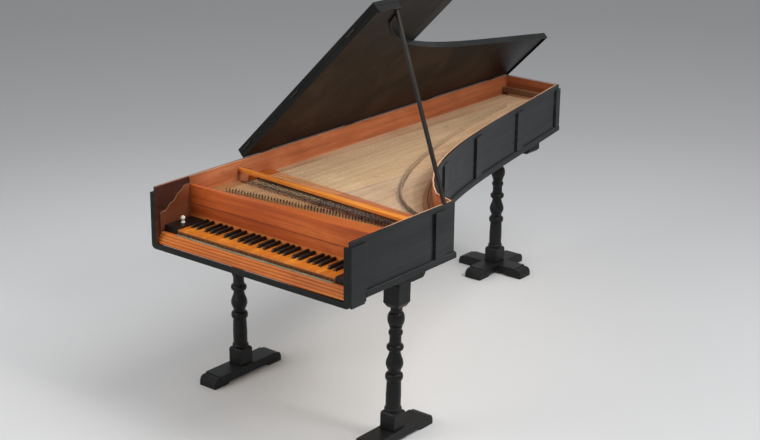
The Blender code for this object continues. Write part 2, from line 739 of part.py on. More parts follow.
def hammers(keys):
    """Hammers of one group on their common pivot rod."""
    pivot_y, pivot_z = HAMMER_PIVOT
    shanks, heads = bmesh.new(), bmesh.new()
    half = HAMMER_SHANK / 2
    top = pivot_z + HAMMER_RISE - HAMMER_HEAD_RADIUS
    for key in keys:
        middle = sum(key["tail"]) / 2
        start = skewed(pivot_y, middle)
        head = start + HAMMER_ARM
        profile = [(start, pivot_z - half), (head + half, pivot_z - half), (head + half, top),
                   (head - half, top), (head - half, pivot_z + half), (start, pivot_z + half)]
        across(profile, middle - half, middle + half, shanks)
        reach = HAMMER_HEAD_WIDTH / 2
        rod((middle - reach, head, top), (middle + reach, head, top), HAMMER_HEAD_RADIUS, 6, heads)
    left, right = keys[0]["tail"][0] + 2 * BITE, keys[-1]["tail"][1] - 2 * BITE
    pivot = rod((left, skewed(pivot_y, left), pivot_z), (right, skewed(pivot_y, right), pivot_z),
                HAMMER_ROD_RADIUS, 6)
    return joined(pivot, shanks, heads)


def dampers(keys):
    """Dampers of one group, standing on the key tails and joined below the strings."""
    slips = bmesh.new()
    half = DAMPER_WIDTH / 2
    for key in keys:
        middle = sum(key["tail"]) / 2
        y = skewed(DAMPER_Y, middle)
        depth = DAMPER_THICKNESS / 2
        reach = DAMPER_HEAD_DEPTH / 2
        foot, head = LEVER_TOP + GAP, DAMPER_HEAD_BOTTOM
        profile = [(y - depth, foot), (y + depth, foot), (y + depth, head), (y + reach, head),
                   (y + reach, DAMPER_TOP), (y - reach, DAMPER_TOP), (y - reach, head), (y - depth, head)]
        across(profile, middle - half, middle + half, slips)
    left, right = keys[0]["tail"][0] + 3 * BITE, keys[-1]["tail"][1] - 3 * BITE
    start = DAMPER_Y + DAMPER_THICKNESS / 2 - BITE
    end = start + DAMPER_BAR_DEPTH
    outline = [(left, skewed(start, left)), (right, skewed(start, right)),
               (right, skewed(end, right)), (left, skewed(end, left))]
    bar = plate(outline, DAMPER_BAR_BOTTOM, DAMPER_BAR_BOTTOM + DAMPER_BAR_HEIGHT)
    return joined(bar, slips)


def build_keyboard(root, boxwood, ebony, pine, paper):
    """Keys, hammers and dampers in groups, each on an empty at its joint."""
    table = key_table()
    for number, blocks in enumerate(OCTAVE_GROUPS, 1):
        keys = [key for key in table if key["block"] in blocks]
        middle = (keys[0]["front"][0] + keys[-1]["front"][1]) / 2
        balance = (middle, BALANCE_Y, KEY_BOTTOM)
        pivot = empty(f"key_balance_{number}", root, balance)
        back = Matrix.Translation(-Vector(balance))
        kinds = (("naturals", "N", naturals, boxwood), ("sharps", "S", sharps, ebony))
        for label, kind, shape, finish in kinds:
            solid = shape([key for key in keys if key["kind"] == kind])
            solid.transform(back)
            node(f"{label}_{number}", solid, finish, pivot)
        hammer_place = (middle, skewed(HAMMER_PIVOT[0], middle), HAMMER_PIVOT[1])
        node(f"hammers_{number}", hammers(keys), paper, root, hammer_place)
        damper_place = (middle, skewed(DAMPER_Y, middle), DAMPER_TOP)
        node(f"dampers_{number}", dampers(keys), pine, root, damper_place)


def build_action_frame(parent, pine):
    """Key frame with its rails, and the rail that carries the hammers."""
    left, right = LINED + GAP, CASE_WIDTH - LINED - GAP
    low = FLOOR_TOP + GAP
    rest = KEY_BOTTOM - GAP
    half = BALANCE_WIDTH / 2
    balance = box((left, BALANCE_Y - half, low), (right, BALANCE_Y + half, rest))
    others = box((left, BACK_RAIL_Y, low), (right, BACK_RAIL_Y + FRAME_RAIL_DEPTH, rest))
    box((KEYS_LEFT + BITE, SILL_Y, low),
        (KEYS_END - BITE, SILL_Y + FRAME_RAIL_DEPTH, low + SILL_HEIGHT), others)
    battens = bmesh.new()
    for share in BATTEN_SHARES:
        middle = KEYS_LEFT + share * (KEYS_END - KEYS_LEFT)
        box((middle - BATTEN_WIDTH / 2, SILL_Y + BITE, low + BITE / 2),
            (middle + BATTEN_WIDTH / 2, BACK_RAIL_Y + FRAME_RAIL_DEPTH / 2, low + BATTEN_HEIGHT), battens)
    node("key_frame", joined(balance, battens, others), pine, parent)

    pivot_y, pivot_z = HAMMER_PIVOT
    rear = pivot_y - HAMMER_ROD_RADIUS - GAP
    ahead = rear - HAMMER_RAIL_DEPTH
    top = pivot_z + HAMMER_RAIL_RISE
    under = top - HAMMER_RAIL_HEIGHT
    outline = [(left, skewed(ahead, left)), (right, skewed(ahead, right)),
               (right, skewed(rear, right)), (left, skewed(rear, left))]
    rail = plate(outline, under, top)
    legs = bmesh.new()
    for x0, x1 in ((left + BITE, KEYS_LEFT - 2 * BITE), (KEYS_END + 2 * BITE, right - BITE)):
        y = skewed(ahead, (x0 + x1) / 2)
        box((x0, y + 2 * BITE, low), (x1, y + HAMMER_RAIL_DEPTH - 2 * BITE, under + BITE), legs)
    node("hammer_rail", joined(rail, legs), pine, parent)


def build_interior(parent, cypress, pine, spruce, walnut):
    """Wrestplank, belly rail, soundboard and what is glued to it, and the damper rail."""
    left, right = LINED + GAP, CASE_WIDTH - LINED - GAP
    front = NAMEBOARD_Y + NAMEBOARD_THICKNESS + GAP

    plank = plate([(left, front), (right, front), (right, skewed(PLANK_REAR, right)),
                   (left, skewed(PLANK_REAR, left))], PLANK_BOTTOM, PLANK_TOP)
    node("wrestplank", plank, pine, parent)

    half, ridge = NUT_WIDTH / 2, NUT_RIDGE / 2
    nut_line = [(x, skewed(NUT_Y, x)) for x in (left + NUT_END, right - NUT_END)]
    nut_top = PLANK_TOP + NUT_HEIGHT
    nut_section = [(-half, PLANK_TOP + GAP), (-half, nut_top - NUT_SLOPE), (-ridge, nut_top),
                   (ridge, nut_top), (half, nut_top - NUT_SLOPE), (half, PLANK_TOP + GAP)]
    node("nut", swept(nut_line, nut_section, pull=0), walnut, parent)

    under = SOUNDBOARD_TOP - SOUNDBOARD_THICKNESS
    belly = [(left, skewed(BELLY_FRONT, left)), (right, skewed(BELLY_FRONT, right)),
             (right, skewed(BELLY_FRONT, right) + BELLY_THICKNESS),
             (left, skewed(BELLY_FRONT, left) + BELLY_THICKNESS)]
    node("belly_rail", plate(belly, FLOOR_TOP + GAP, under - GAP), pine, parent)
    board = interior(LINED + GAP, skewed(BELLY_FRONT, left), skewed(BELLY_FRONT, right))
    node("soundboard", plate(board, under, SOUNDBOARD_TOP), spruce, parent)
    cap_right = right - HITCH_RAIL_WIDTH - GAP
    cap = [(left, skewed(BELLY_FRONT, left)), (cap_right, skewed(BELLY_FRONT, cap_right)),
           (cap_right, skewed(BELLY_FRONT, cap_right) + BELLY_CAP_DEPTH[1]),
           (left, skewed(BELLY_FRONT, left) + BELLY_CAP_DEPTH[0])]
    seat = SOUNDBOARD_TOP + GAP
    node("belly_rail_cap", plate(cap, seat, SOUNDBOARD_TOP + BELLY_CAP_HEIGHT), cypress, parent)

    hitch_path = list(CASE_PATH)
    hitch_path[0] = (CASE_WIDTH, skewed(BELLY_FRONT, right))
    section = strip_section(LINED + GAP, LINED + HITCH_RAIL_WIDTH, seat, SOUNDBOARD_TOP + HITCH_RAIL_HEIGHT)
    node("hitchpin_rail", swept(hitch_path, section, 0, corner("spine"), pull=0), cypress, parent)

    curve = [(CASE_WIDTH * x, BRIDGE_START + (CASE_LENGTH - BRIDGE_START) * y) for x, y in BRIDGE_SHARES]
    bridge = bezier(curve, 0.0, 1.0, BRIDGE_STEPS)
    half, crest = BRIDGE_WIDTH / 2, SOUNDBOARD_TOP + BRIDGE_HEIGHT
    section = [(-half, seat), (BRIDGE_SLOPE - half, crest), (half - BRIDGE_SLOPE, crest), (half, seat)]
    node("bridge", swept(bridge, section, pull=0), walnut, parent)

    liner_path = list(CASE_PATH)
    liner_path[0] = (CASE_WIDTH, skewed(BELLY_FRONT, right - LINER_DEPTH) + BELLY_THICKNESS + GAP)
    liner_path[-1] = (0.0, skewed(BELLY_FRONT, left) + BELLY_THICKNESS + GAP)
    section = strip_section(LINED + GAP, LINED + LINER_DEPTH, under - GAP - LINER_HEIGHT, under - GAP)
    node("liner", swept(liner_path, section, pull=0), pine, parent)

    build_ribs(parent, pine, under - GAP)
    build_braces(parent, pine)

    back_left, back_right = DAMPER_RAIL_BACK
    deep_left, deep_right = DAMPER_RAIL_DEPTH
    rail = [(left, back_left - deep_left), (right, back_right - deep_right),
            (right, back_right), (left, back_left)]
    under = DAMPER_RAIL_TOP - DAMPER_RAIL_THICKNESS
    node("damper_rail", plate(rail, under, DAMPER_RAIL_TOP), cypress, parent)


def width_at(y, distance):
    """Where the inside of the bentside lies at one y, measured from the spine."""
    line = inward(CASE_PATH, distance)[corner("bentside"):corner("tail") + 1]
    for (x0, y0), (x1, y1) in zip(line, line[1:]):
        if y0 <= y <= y1:
            return x0 + (x1 - x0) * (y - y0) / (y1 - y0)
    return line[0][0]


def build_ribs(parent, pine, high):
    """Ribs glued across under the soundboard, joined by a cutoff bar along the spine's side."""
    inset = LINED + LINER_DEPTH + 2 * GAP
    start = inset + CUTOFF_INSET
    rail = box((start, RIB_PLACES[0] - RIB_WIDTH, high - RIB_HEIGHT),
               (start + RIB_WIDTH, RIB_PLACES[-1] + RIB_WIDTH, high))
    bars = bmesh.new()
    for y in RIB_PLACES:
        reach = width_at(y + RIB_WIDTH / 2, inset) - 2 * BITE
        box((inset + BITE, y - RIB_WIDTH / 2, high - RIB_HEIGHT + BITE),
            (reach, y + RIB_WIDTH / 2, high - BITE / 4), bars)
    node("soundboard_ribs", joined(rail, bars), pine, parent)


def build_braces(parent, pine):
    """Braces that stand on the bottom board between spine and bentside."""
    low = FLOOR_TOP + GAP
    inset = LINED + GAP
    start = inset + LONG_BRACE_INSET
    long_brace = box((start, BRACE_PLACES[0] - LONG_BRACE_REACH, low),
                     (start + BRACE_WIDTH, BRACE_PLACES[-1] + LONG_BRACE_REACH, low + LONG_BRACE_HEIGHT))
    bars = bmesh.new()
    for y in BRACE_PLACES:
        reach = width_at(y + BRACE_WIDTH / 2, inset) - BITE
        box((inset, y - BRACE_WIDTH / 2, low + BITE / 4),
            (reach, y + BRACE_WIDTH / 2, low + BRACE_HEIGHT), bars)
    node("bottom_braces", joined(long_brace, bars), pine, parent)


def lid_path():
    """Edge of the case that the lid follows, measured from its hinge and its front edge."""
    path = [(x, y - LID_FRONT) for x, y in CASE_PATH]
    path[0] = (CASE_WIDTH, BITE)
    path[1] = (CASE_WIDTH, CHEEK_LENGTH + LID_RETURN_REACH - LID_FRONT)
    return path


def lid_outline():
    """Plan of the closed lid: flush at the spine, overhanging elsewhere."""
    outline = inward(lid_path(), -LID_OVERHANG)
    outline[0] = (CASE_WIDTH + LID_OVERHANG, 0.0)
    outline[-2] = (0.0, CASE_LENGTH + LID_OVERHANG - LID_FRONT)
    outline[-1] = (0.0, 0.0)
    return outline


def build_lid(root, black, green):
    """Lid, the flap folded back on it and the fall board hinged to the flap."""
    hinge = empty("lid_hinge_line", root, (0.0, LID_FRONT, HINGE_HEIGHT))
    hinge.rotation_euler = (0.0, -LID_ANGLE, 0.0)
    board = plate(lid_outline(), 0.0, LID_THICKNESS)
    lip_section = strip_section(-LID_OVERHANG, -2 * GAP, -LID_LIP, BITE)
    lip = swept(lid_path(), lip_section, 0, corner("spine"), pull=BITE)
    node("lid", joined(board, lip), black, hinge)

    flap_line = empty("flap_hinge_line", hinge, (0.0, 0.0, LID_THICKNESS + FLAP_GAP / 2))
    width = CASE_WIDTH + LID_OVERHANG
    flap_length = LID_FRONT - 2 * GAP
    low, high = FLAP_GAP / 2, FLAP_GAP / 2 + FLAP_THICKNESS
    flap = box((0.0, GAP, low), (width, flap_length, high))
    node("lid_flap", flap, black, flap_line)

    fall_line = empty("fall_hinge_line", flap_line, (0.0, flap_length + GAP, high))
    fall = box((0.0, GAP, -FALL_THICKNESS), (width, FALL_LENGTH, 0.0))
    node("fall_board", fall, green, fall_line)


def build_prop(root, black):
    """Square stick from the top of the cheek to the underside of the lid."""
    foot = Vector((CASE_WIDTH - WALL, CHEEK_LENGTH - PROP_FOOT_SET_BACK, RIM_TOP + GAP))
    slope = Vector((math.cos(LID_ANGLE), 0, math.sin(LID_ANGLE)))
    normal = Vector((-math.sin(LID_ANGLE), 0, math.cos(LID_ANGLE)))
    hinge = Vector((0.0, 0.0, HINGE_HEIGHT))
    top = hinge + (CASE_WIDTH - PROP_TOP_INSET) * slope + Vector((0, CHEEK_LENGTH + PROP_TOP_AHEAD, 0))
    along = (top - foot).normalized()
    side = along.cross(Vector((0, 1, 0))).normalized() * PROP_SIDE / 2
    other = along.cross(side).normalized() * PROP_SIDE / 2
    corners = [side + other, other - side, -side - other, side - other]
    start, end = foot - along * PROP_SIDE, top + along * PROP_SIDE
    stick = loft([[start + corner for corner in corners], [end + corner for corner in corners]])
    for place, out in ((foot, Vector((0, 0, -1))), (top - GAP * normal, normal)):
        geometry = stick.verts[:] + stick.edges[:] + stick.faces[:]
        bmesh.ops.bisect_plane(stick, geom=geometry, plane_co=place, plane_no=out, clear_outer=True)
        bmesh.ops.holes_fill(stick, edges=[edge for edge in stick.edges if edge.is_boundary])
    heel = max(vertex.co.y for vertex in stick.verts if vertex.co.z < foot.z + BITE)
    node("prop_stick", stick, black, root, (foot.x, heel, foot.z))


def turning_points(start, end):
    """The columns' turning as (height, radius) points between two heights."""
    points = []
    for kind, low, high, first, second in TURNING:
        steps = {"bead": BEAD_STEPS, "ease": EASE_STEPS, "cone": 1}[kind]
        for step in range(steps + 1):
            turn = math.pi * step / steps
            share = (1 - math.cos(turn)) / 2 if kind == "bead" else step / steps
            rise = math.sin(turn) if kind == "bead" else (1 - math.cos(turn)) / 2
            height = start + (end - start) * (low + (high - low) * share)
            point = (height, first + (second - first) * rise)
            if not points or height > points[-1][0] + BITE / 2:
                points.append(point)
    return points


def column(place, lean, bar):
    """Turned column between its square base and capital blocks, leaning a little as it stands."""
    capital_top = CASE_BOTTOM - bar - 2 * GAP
    capital_low = CAPITAL_BOTTOM
    base_low = FOOT_HEIGHT + GAP
    base_top = base_low + BASE_BLOCK_HEIGHT
    solid = turned(turning_points(base_top - BITE, capital_low + BITE), place)
    half = BASE_BLOCK / 2
    base = [(base_low, half), (base_top - BASE_TAPER, half), (base_top, half * BASE_NECK)]
    half = CAPITAL_BLOCK / 2
    capital = [(capital_low, half * CAPITAL_NECK), (capital_low + CAPITAL_TAPER, half), (capital_top, half)]
    corners = ((-1, -1), (1, -1), (1, 1), (-1, 1))
    for levels in (base, capital):
        rings = [[(place[0] + reach * x, place[1] + reach * y, height) for x, y in corners]
                 for height, reach in levels]
        solid = joined(solid, loft(rings))
    for vertex in solid.verts:
        vertex.co.x += lean * (vertex.co.z - base_low) / (capital_top - base_low)
    return solid


def foot_profile(length):
    """Side of a foot: two pads, a low arch between them, and stepped and rounded ends."""
    half = length / 2
    inset, drop = FOOT_STEP
    right = [(half, 0.0)] + [(half - back, FOOT_HEIGHT - down) for back, down in reversed(FOOT_NOSE)]
    right += [(half - inset, FOOT_HEIGHT - drop), (half - inset, FOOT_HEIGHT)]
    under = [(-half + FOOT_PAD, 0.0), (-half + FOOT_PAD + FOOT_ARCH, FOOT_ARCH),
             (half - FOOT_PAD - FOOT_ARCH, FOOT_ARCH), (half - FOOT_PAD, 0.0)]
    return under + right + [(-along, height) for along, height in reversed(right)]


def bearer(reach, bar, half_width, place, along_y):
    """Bearer under the case, with its ends cut back underneath."""
    high = CASE_BOTTOM - GAP
    low = high - bar
    cut = BAR_CHAMFER
    back, ahead = reach
    profile = [(-back, high), (-back, low + cut), (-back + cut, low), (ahead - cut, low),
               (ahead, low + cut), (ahead, high)]
    if along_y:
        return across([(place[1] + y, z) for y, z in profile], place[0] - half_width, place[0] + half_width)
    return loft([[(place[0] + x, y, z) for x, z in profile]
                 for y in (place[1] - half_width, place[1] + half_width)])


def build_stands(root, black):
    """Three stands, each a foot, a turned column and a bearer."""
    places = {"front_left": LEFT_STAND, "front_right": (CASE_WIDTH - RIGHT_STAND[0], RIGHT_STAND[1]),
              "rear": (REAR_STAND[0], CASE_LENGTH - REAR_STAND[1])}
    for name, place in places.items():
        half = FOOT_WIDTH / 2
        rear = name == "rear"
        profile = foot_profile(REAR_FOOT_LENGTH if rear else FOOT_LENGTH)
        solid = across([(place[1] + y, z) for y, z in profile], place[0] - half, place[0] + half)
        if rear:
            sides = (place[1] - half, place[1] + half)
            arm = loft([[(place[0] + x, y, z) for x, z in profile] for y in sides])
            solid = joined(solid, arm)
        node(f"{name}_foot", solid, black, root)
        reach, bar = (REAR_BAR_REACH, REAR_BAR_THICKNESS) if rear else (BAR_REACH, BAR_THICKNESS)
        node(f"{name}_column", column(place, LEANS[name], bar), black, root, smooth=35)
        over = (place[0] + LEANS[name], place[1])
        node(f"{name}_bearer", bearer(reach, bar, BAR_WIDTH / 2, over, not rear), black, root)


def stand_on_centre(root):
    """Move the instrument so that the middle of its bounding box's bottom is the origin."""
    bpy.context.view_layer.update()
    corners = [item.matrix_world @ vertex.co for item in bpy.data.objects if item.type == "MESH"
               for vertex in item.data.vertices]
    lows = [min(corner[axis] for corner in corners) for axis in range(3)]
    highs = [max(corner[axis] for corner in corners) for axis in range(3)]
    root.location = (-(lows[0] + highs[0]) / 2, -(lows[1] + highs[1]) / 2, -lows[2])
    bpy.context.view_layer.update()


def main():
    remove_everything()
    black = material("black_paint", (0.018, 0.018, 0.020), 0.45)
    green = material("dark_paint", (0.020, 0.024, 0.022), 0.50)
    cypress = material("cypress", (0.42, 0.15, 0.05), 0.50)
    pine = material("pale_wood", (0.50, 0.33, 0.17), 0.60)
    spruce = material("soundboard_wood", (0.46, 0.34, 0.22), 0.60)
    walnut = material("walnut", (0.12, 0.06, 0.03), 0.45)
    boxwood = material("boxwood", (0.62, 0.31, 0.08), 0.40)
    ebony = material("ebony", (0.025, 0.018, 0.015), 0.35)
    ivory = material("ivory", (0.85, 0.82, 0.74), 0.35)
    paper = material("hammer_wood", (0.58, 0.45, 0.28), 0.70)

    root = empty("fortepiano")
    moving = {"keyblock": empty("keyblock_lift", root)}
    build_case(root, black, cypress, pine)
    build_front(root, moving, black, cypress, ivory)
    build_keyboard(root, boxwood, ebony, pine, paper)
    build_action_frame(root, pine)
    build_interior(root, cypress, pine, spruce, walnut)
    build_lid(root, black, green)
    build_prop(root, black)
    build_stands(root, black)
    stand_on_centre(root)


main()
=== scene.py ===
"""Looks of the fortepiano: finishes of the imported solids, and the pieces that stand for them.

Points of the instrument are given in its own frame: x from the spine to the cheek, y from the
keyboard to the tail, z up from the floor, in metres. at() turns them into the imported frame's.
"""

import math
import random

import bmesh
import bpy
from mathutils import Matrix, Vector


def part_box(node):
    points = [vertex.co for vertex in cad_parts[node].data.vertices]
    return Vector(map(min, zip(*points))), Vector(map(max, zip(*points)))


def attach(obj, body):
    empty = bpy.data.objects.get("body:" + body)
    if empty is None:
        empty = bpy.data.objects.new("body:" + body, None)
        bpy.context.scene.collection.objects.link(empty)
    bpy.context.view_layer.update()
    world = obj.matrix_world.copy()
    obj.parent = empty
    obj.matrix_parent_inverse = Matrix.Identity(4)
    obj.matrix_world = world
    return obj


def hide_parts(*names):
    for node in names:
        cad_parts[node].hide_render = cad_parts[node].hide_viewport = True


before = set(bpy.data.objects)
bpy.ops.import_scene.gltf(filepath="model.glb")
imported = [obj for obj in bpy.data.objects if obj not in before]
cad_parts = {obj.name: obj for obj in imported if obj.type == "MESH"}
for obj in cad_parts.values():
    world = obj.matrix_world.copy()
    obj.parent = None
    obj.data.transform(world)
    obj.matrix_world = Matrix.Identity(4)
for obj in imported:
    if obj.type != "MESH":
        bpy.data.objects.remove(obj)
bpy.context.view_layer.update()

# Case, lid and inner parts, as in the solids
CASE_WIDTH = 0.942
CASE_LENGTH = 2.286
CASE_BOTTOM = 0.647
RIM_TOP = 0.865
WALL = 0.009
LINED = 0.0143
TRIM = 0.007
CHEEK_LENGTH = 0.599
BENT_START = (0.845, 0.636)
BENT_SHARES = ((0.55732, 0.18788), (0.50849, 0.46061))
TAIL_WIDTH = 0.295
FRAME_RAIL_TOP = 0.647
SLIP_TOP = 0.6865
NAMEBOARD_SPLIT = 0.762
PLANK_TOP = 0.79
SKEW = -0.055
NUT_Y = 0.435
NUT_TOP = 0.798
SOUNDBOARD_TOP = 0.78
BRIDGE_TOP = 0.796
BRIDGE_START = 0.552
BRIDGE_SHARES = ((0.897, 0.0), (0.525, 0.053), (0.305, 0.395), (0.166, 0.87))
HITCH_TOP = 0.79
HITCH_WIDTH = 0.034
LID_ANGLE = math.radians(45.0)
LID_FRONT = 0.49
LID_HINGE_HEIGHT = 0.8656
LID_THICKNESS = 0.02
FLAP_GAP = 0.0006
FLAP_LENGTH = 0.4894
FLAP_THICKNESS = 0.018

# Keys, hammers and dampers
KEYS_LEFT = 0.082
NATURAL_PITCH = 0.0238
KEY_GAP = 0.0006
KEY_FRONT = 0.05
SHARP_FRONT = 0.1
NOTCH = SHARP_FRONT - 2 * KEY_GAP
COVER_END = 0.1855
KEY_BOTTOM = 0.684
LEVER_TOP = 0.697
NATURAL_TOP = 0.704
PLATE = 0.0035
PLATE_FOOT = NATURAL_TOP - PLATE - 0.0002
HAMMER_Y = 0.345
HAMMER_Z = 0.728
HAMMER_ARM = 0.123
HAMMER_RISE = 0.042
ROLL_STEPS = 18
LEATHER_STEPS = 8
DAMPER_Y = 0.487
DAMPER_HEAD = 0.8005
DAMPER_TOP = 0.812

# Strings, pins, hooks, cloths, cleat and hinges
STRING_GAP = 0.0023
STRING_RADIUS = 0.00045
STRING_TAPER = 0.00022
BRASS_SHARE = 0.45
PIN_ROW = 0.305
PIN_SLOPE = 0.1016
PIN_STEP = 0.0062
PIN_GAP = 0.0034
PIN_RADII = (0.0021, 0.0021, 0.0017, 0.0015)
SMALL_PIN_RADIUS = 0.00065
HITCH_PIN_RADIUS = 0.0009
COIL = (0.003, 0.0078)
COIL_RADIUS = 0.0024
COIL_TURNS = 4
BRIDGE_REACH = (0.168, 0.838)
HOOK_START = 0.112
HOOK_PITCH = 0.0705
HOOKS = 10
HOOK_SHAPE = ((0.0, 0.0, 0.0, 0.003), (0.0, 0.0, 0.0085, 0.0026), (0.0012, 0.0025, 0.0125, 0.0022),
              (0.0016, 0.0065, 0.0115, 0.0016))
CLOTH_ENDS = (0.083, 0.8425)
FRONT_CLOTH = (0.0535, 0.094)
FRONT_CLOTH_HEIGHT = (0.6745, 0.6755)
SLIP_CLOTH = (0.0376, 0.0479)
CLEAT_REACH = (2.2375, 2.259)
CLEAT_END = 0.243
LID_HINGES = (0.07, 0.36, 0.66, 0.93)
LID_LEAF = 0.028
LID_KNUCKLE = 0.03
FLAP_HINGES = (0.06, 0.43, 0.84)
FLAP_LEAF = 0.024
FLAP_KNUCKLE = 0.026

# Limits of the paint on walls and stiles, and of the bright strips of nameboard and wrestplank
BARE_WALL_END = 0.285
STILE_PAINT = 0.0194
NAMEBOARD_STRIP = 0.716
PLANK_STRIP = 0.29

# Blocks of the stands, and each stand's bearer, place and lean
FOOT_HEIGHT = 0.045
BLOCK_HEIGHT = 0.068
BLOCK_TAPER = 0.008
BLOCK_NECK = 0.88
BASE_BLOCK = 0.066
CAPITAL_BLOCK = 0.07
CAPITAL_BOTTOM = 0.5224
CAPITAL_TAPER = 0.018
CAPITAL_NECK = 0.7
BARS = {"front_left": 0.03, "front_right": 0.03, "rear": 0.04}
STANDS = {"front_left": (0.05, 0.405), "front_right": (0.875, 0.337), "rear": (0.15, 2.022)}
LEANS = {"front_left": -0.008, "front_right": 0.014, "rear": 0.006}

# Turning of the columns: shape, start and end as shares of the height, and two radii
TURNING = (
    ("bead", 0.000, 0.038, 0.0280, 0.0324),
    ("cone", 0.157, 0.295, 0.0285, 0.0265),
    ("bead", 0.299, 0.367, 0.0265, 0.0333),
    ("ease", 0.372, 0.459, 0.0226, 0.0324),
    ("ease", 0.459, 0.575, 0.0324, 0.0212),
    ("bead", 0.587, 0.645, 0.0235, 0.0315),
    ("cone", 0.669, 0.713, 0.0217, 0.0217),
    ("bead", 0.734, 0.778, 0.0225, 0.0264),
    ("cone", 0.800, 0.802, 0.0218, 0.0222),
    ("cone", 0.814, 0.824, 0.0246, 0.0246),
    ("bead", 0.826, 0.952, 0.0215, 0.0315),
    ("cone", 0.988, 1.000, 0.0220, 0.0220),
)

# Arch in the fronts of the naturals: radius and depth of each of its edges
ARCH = ((0.0092, 0.0), (0.0086, 0.0009), (0.0068, 0.0012), (0.0062, 0.002), (0.0042, 0.0023),
        (0.0036, 0.003))
ARCH_STEPS = 14
ARCH_RISE = 1.15
ARCH_FOOT = KEY_BOTTOM + 0.0012
ARCADE_FACE = KEY_FRONT + 0.0006
ARCADE_BACK = KEY_FRONT + 0.0052

# Sharps: place behind their fronts, half width at the foot and at the crest, and height
SHARP_ROWS = (
    (0.0, 0.0056, 0.0048, 0.0005),
    (0.0016, 0.0054, 0.0048, 0.011),
    (0.0042, 0.0053, 0.0044, 0.0168),
    (0.0085, 0.0053, 0.0044, 0.019),
    (COVER_END - SHARP_FRONT, 0.0053, 0.0044, 0.019),
)
SHARP_BEVEL = 0.0012

# Keys from left to right in blocks of equally wide tails, natural or sharp
OCTAVE_BLOCKS = ("NSNSN", "NSNSNSN")
KEY_BLOCKS = list(OCTAVE_BLOCKS) * 4 + ["NSNSN", "N"]
KEY_GROUPS = ((0, 1), (2, 3), (4, 5), (6, 7, 8, 9))

# Painted light on the floor: greys from the centre of a painted pool of light outwards
FLOOR_SIZE = 30.0
FLOOR_LIGHT_CENTRE = (1.4, -1.6, 0.0)
FLOOR_REACH = 9.0
FLOOR_LIGHT_FALLOFF = ((0.0, 0.72), (0.3, 0.66), (0.62, 0.5), (1.0, 0.45))

# Camera, solved from the photograph
CAMERA_PLACE = (4.1877, -3.8925, 2.6922)
CAMERA_YAW = -0.6743
CAMERA_PITCH = -0.3312
CAMERA_ROLL = 0.0105
CAMERA_LENS = 76.8
SENSOR = 36.0

# Lamps: place, target, size, power, spread in degrees and colour
LAMPS = {
    "over": ((2.2, 0.6, 4.6), (0.0, 0.1, 0.8), 3.4, 150.0, 180.0, (1.0, 0.99, 0.98)),
    "front": ((-1.6, -4.2, 2.6), (0.0, -0.9, 0.75), 2.2, 70.0, 180.0, (1.0, 0.98, 0.96)),
    "side": ((2.9, -0.2, 3.3), (-0.2, -0.15, 0.8), 0.9, 4.0, 40.0, (1.0, 0.97, 0.94)),
}
SKY = (0.93, 0.96, 1.0)
SKY_STRENGTH = 0.5

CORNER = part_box("front_frame")[0]
ORIGIN = Vector((CORNER.x + TRIM, CORNER.y, 0.0))


def at(x, y, z):
    """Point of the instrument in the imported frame."""
    return ORIGIN + Vector((x, y, z))


def skewed(y, x):
    """A line of the action, which runs slightly towards the player in the treble."""
    return y + SKEW * x


def placed(name, data):
    """New object in the scene."""
    made = bpy.data.objects.new(name, data)
    bpy.context.scene.collection.objects.link(made)
    return made


def make_camera():
    """Camera at the photograph's place and angle."""
    data = bpy.data.cameras.new("camera")
    data.sensor_width = SENSOR
    data.lens = CAMERA_LENS
    camera = placed("camera", data)
    turn = Matrix.Rotation(-CAMERA_YAW, 4, "Z") @ Matrix.Rotation(math.pi / 2 + CAMERA_PITCH, 4, "X")
    turn @= Matrix.Rotation(CAMERA_ROLL, 4, "Z")
    camera.matrix_world = Matrix.Translation(at(*CAMERA_PLACE)) @ turn
    bpy.context.scene.camera = camera


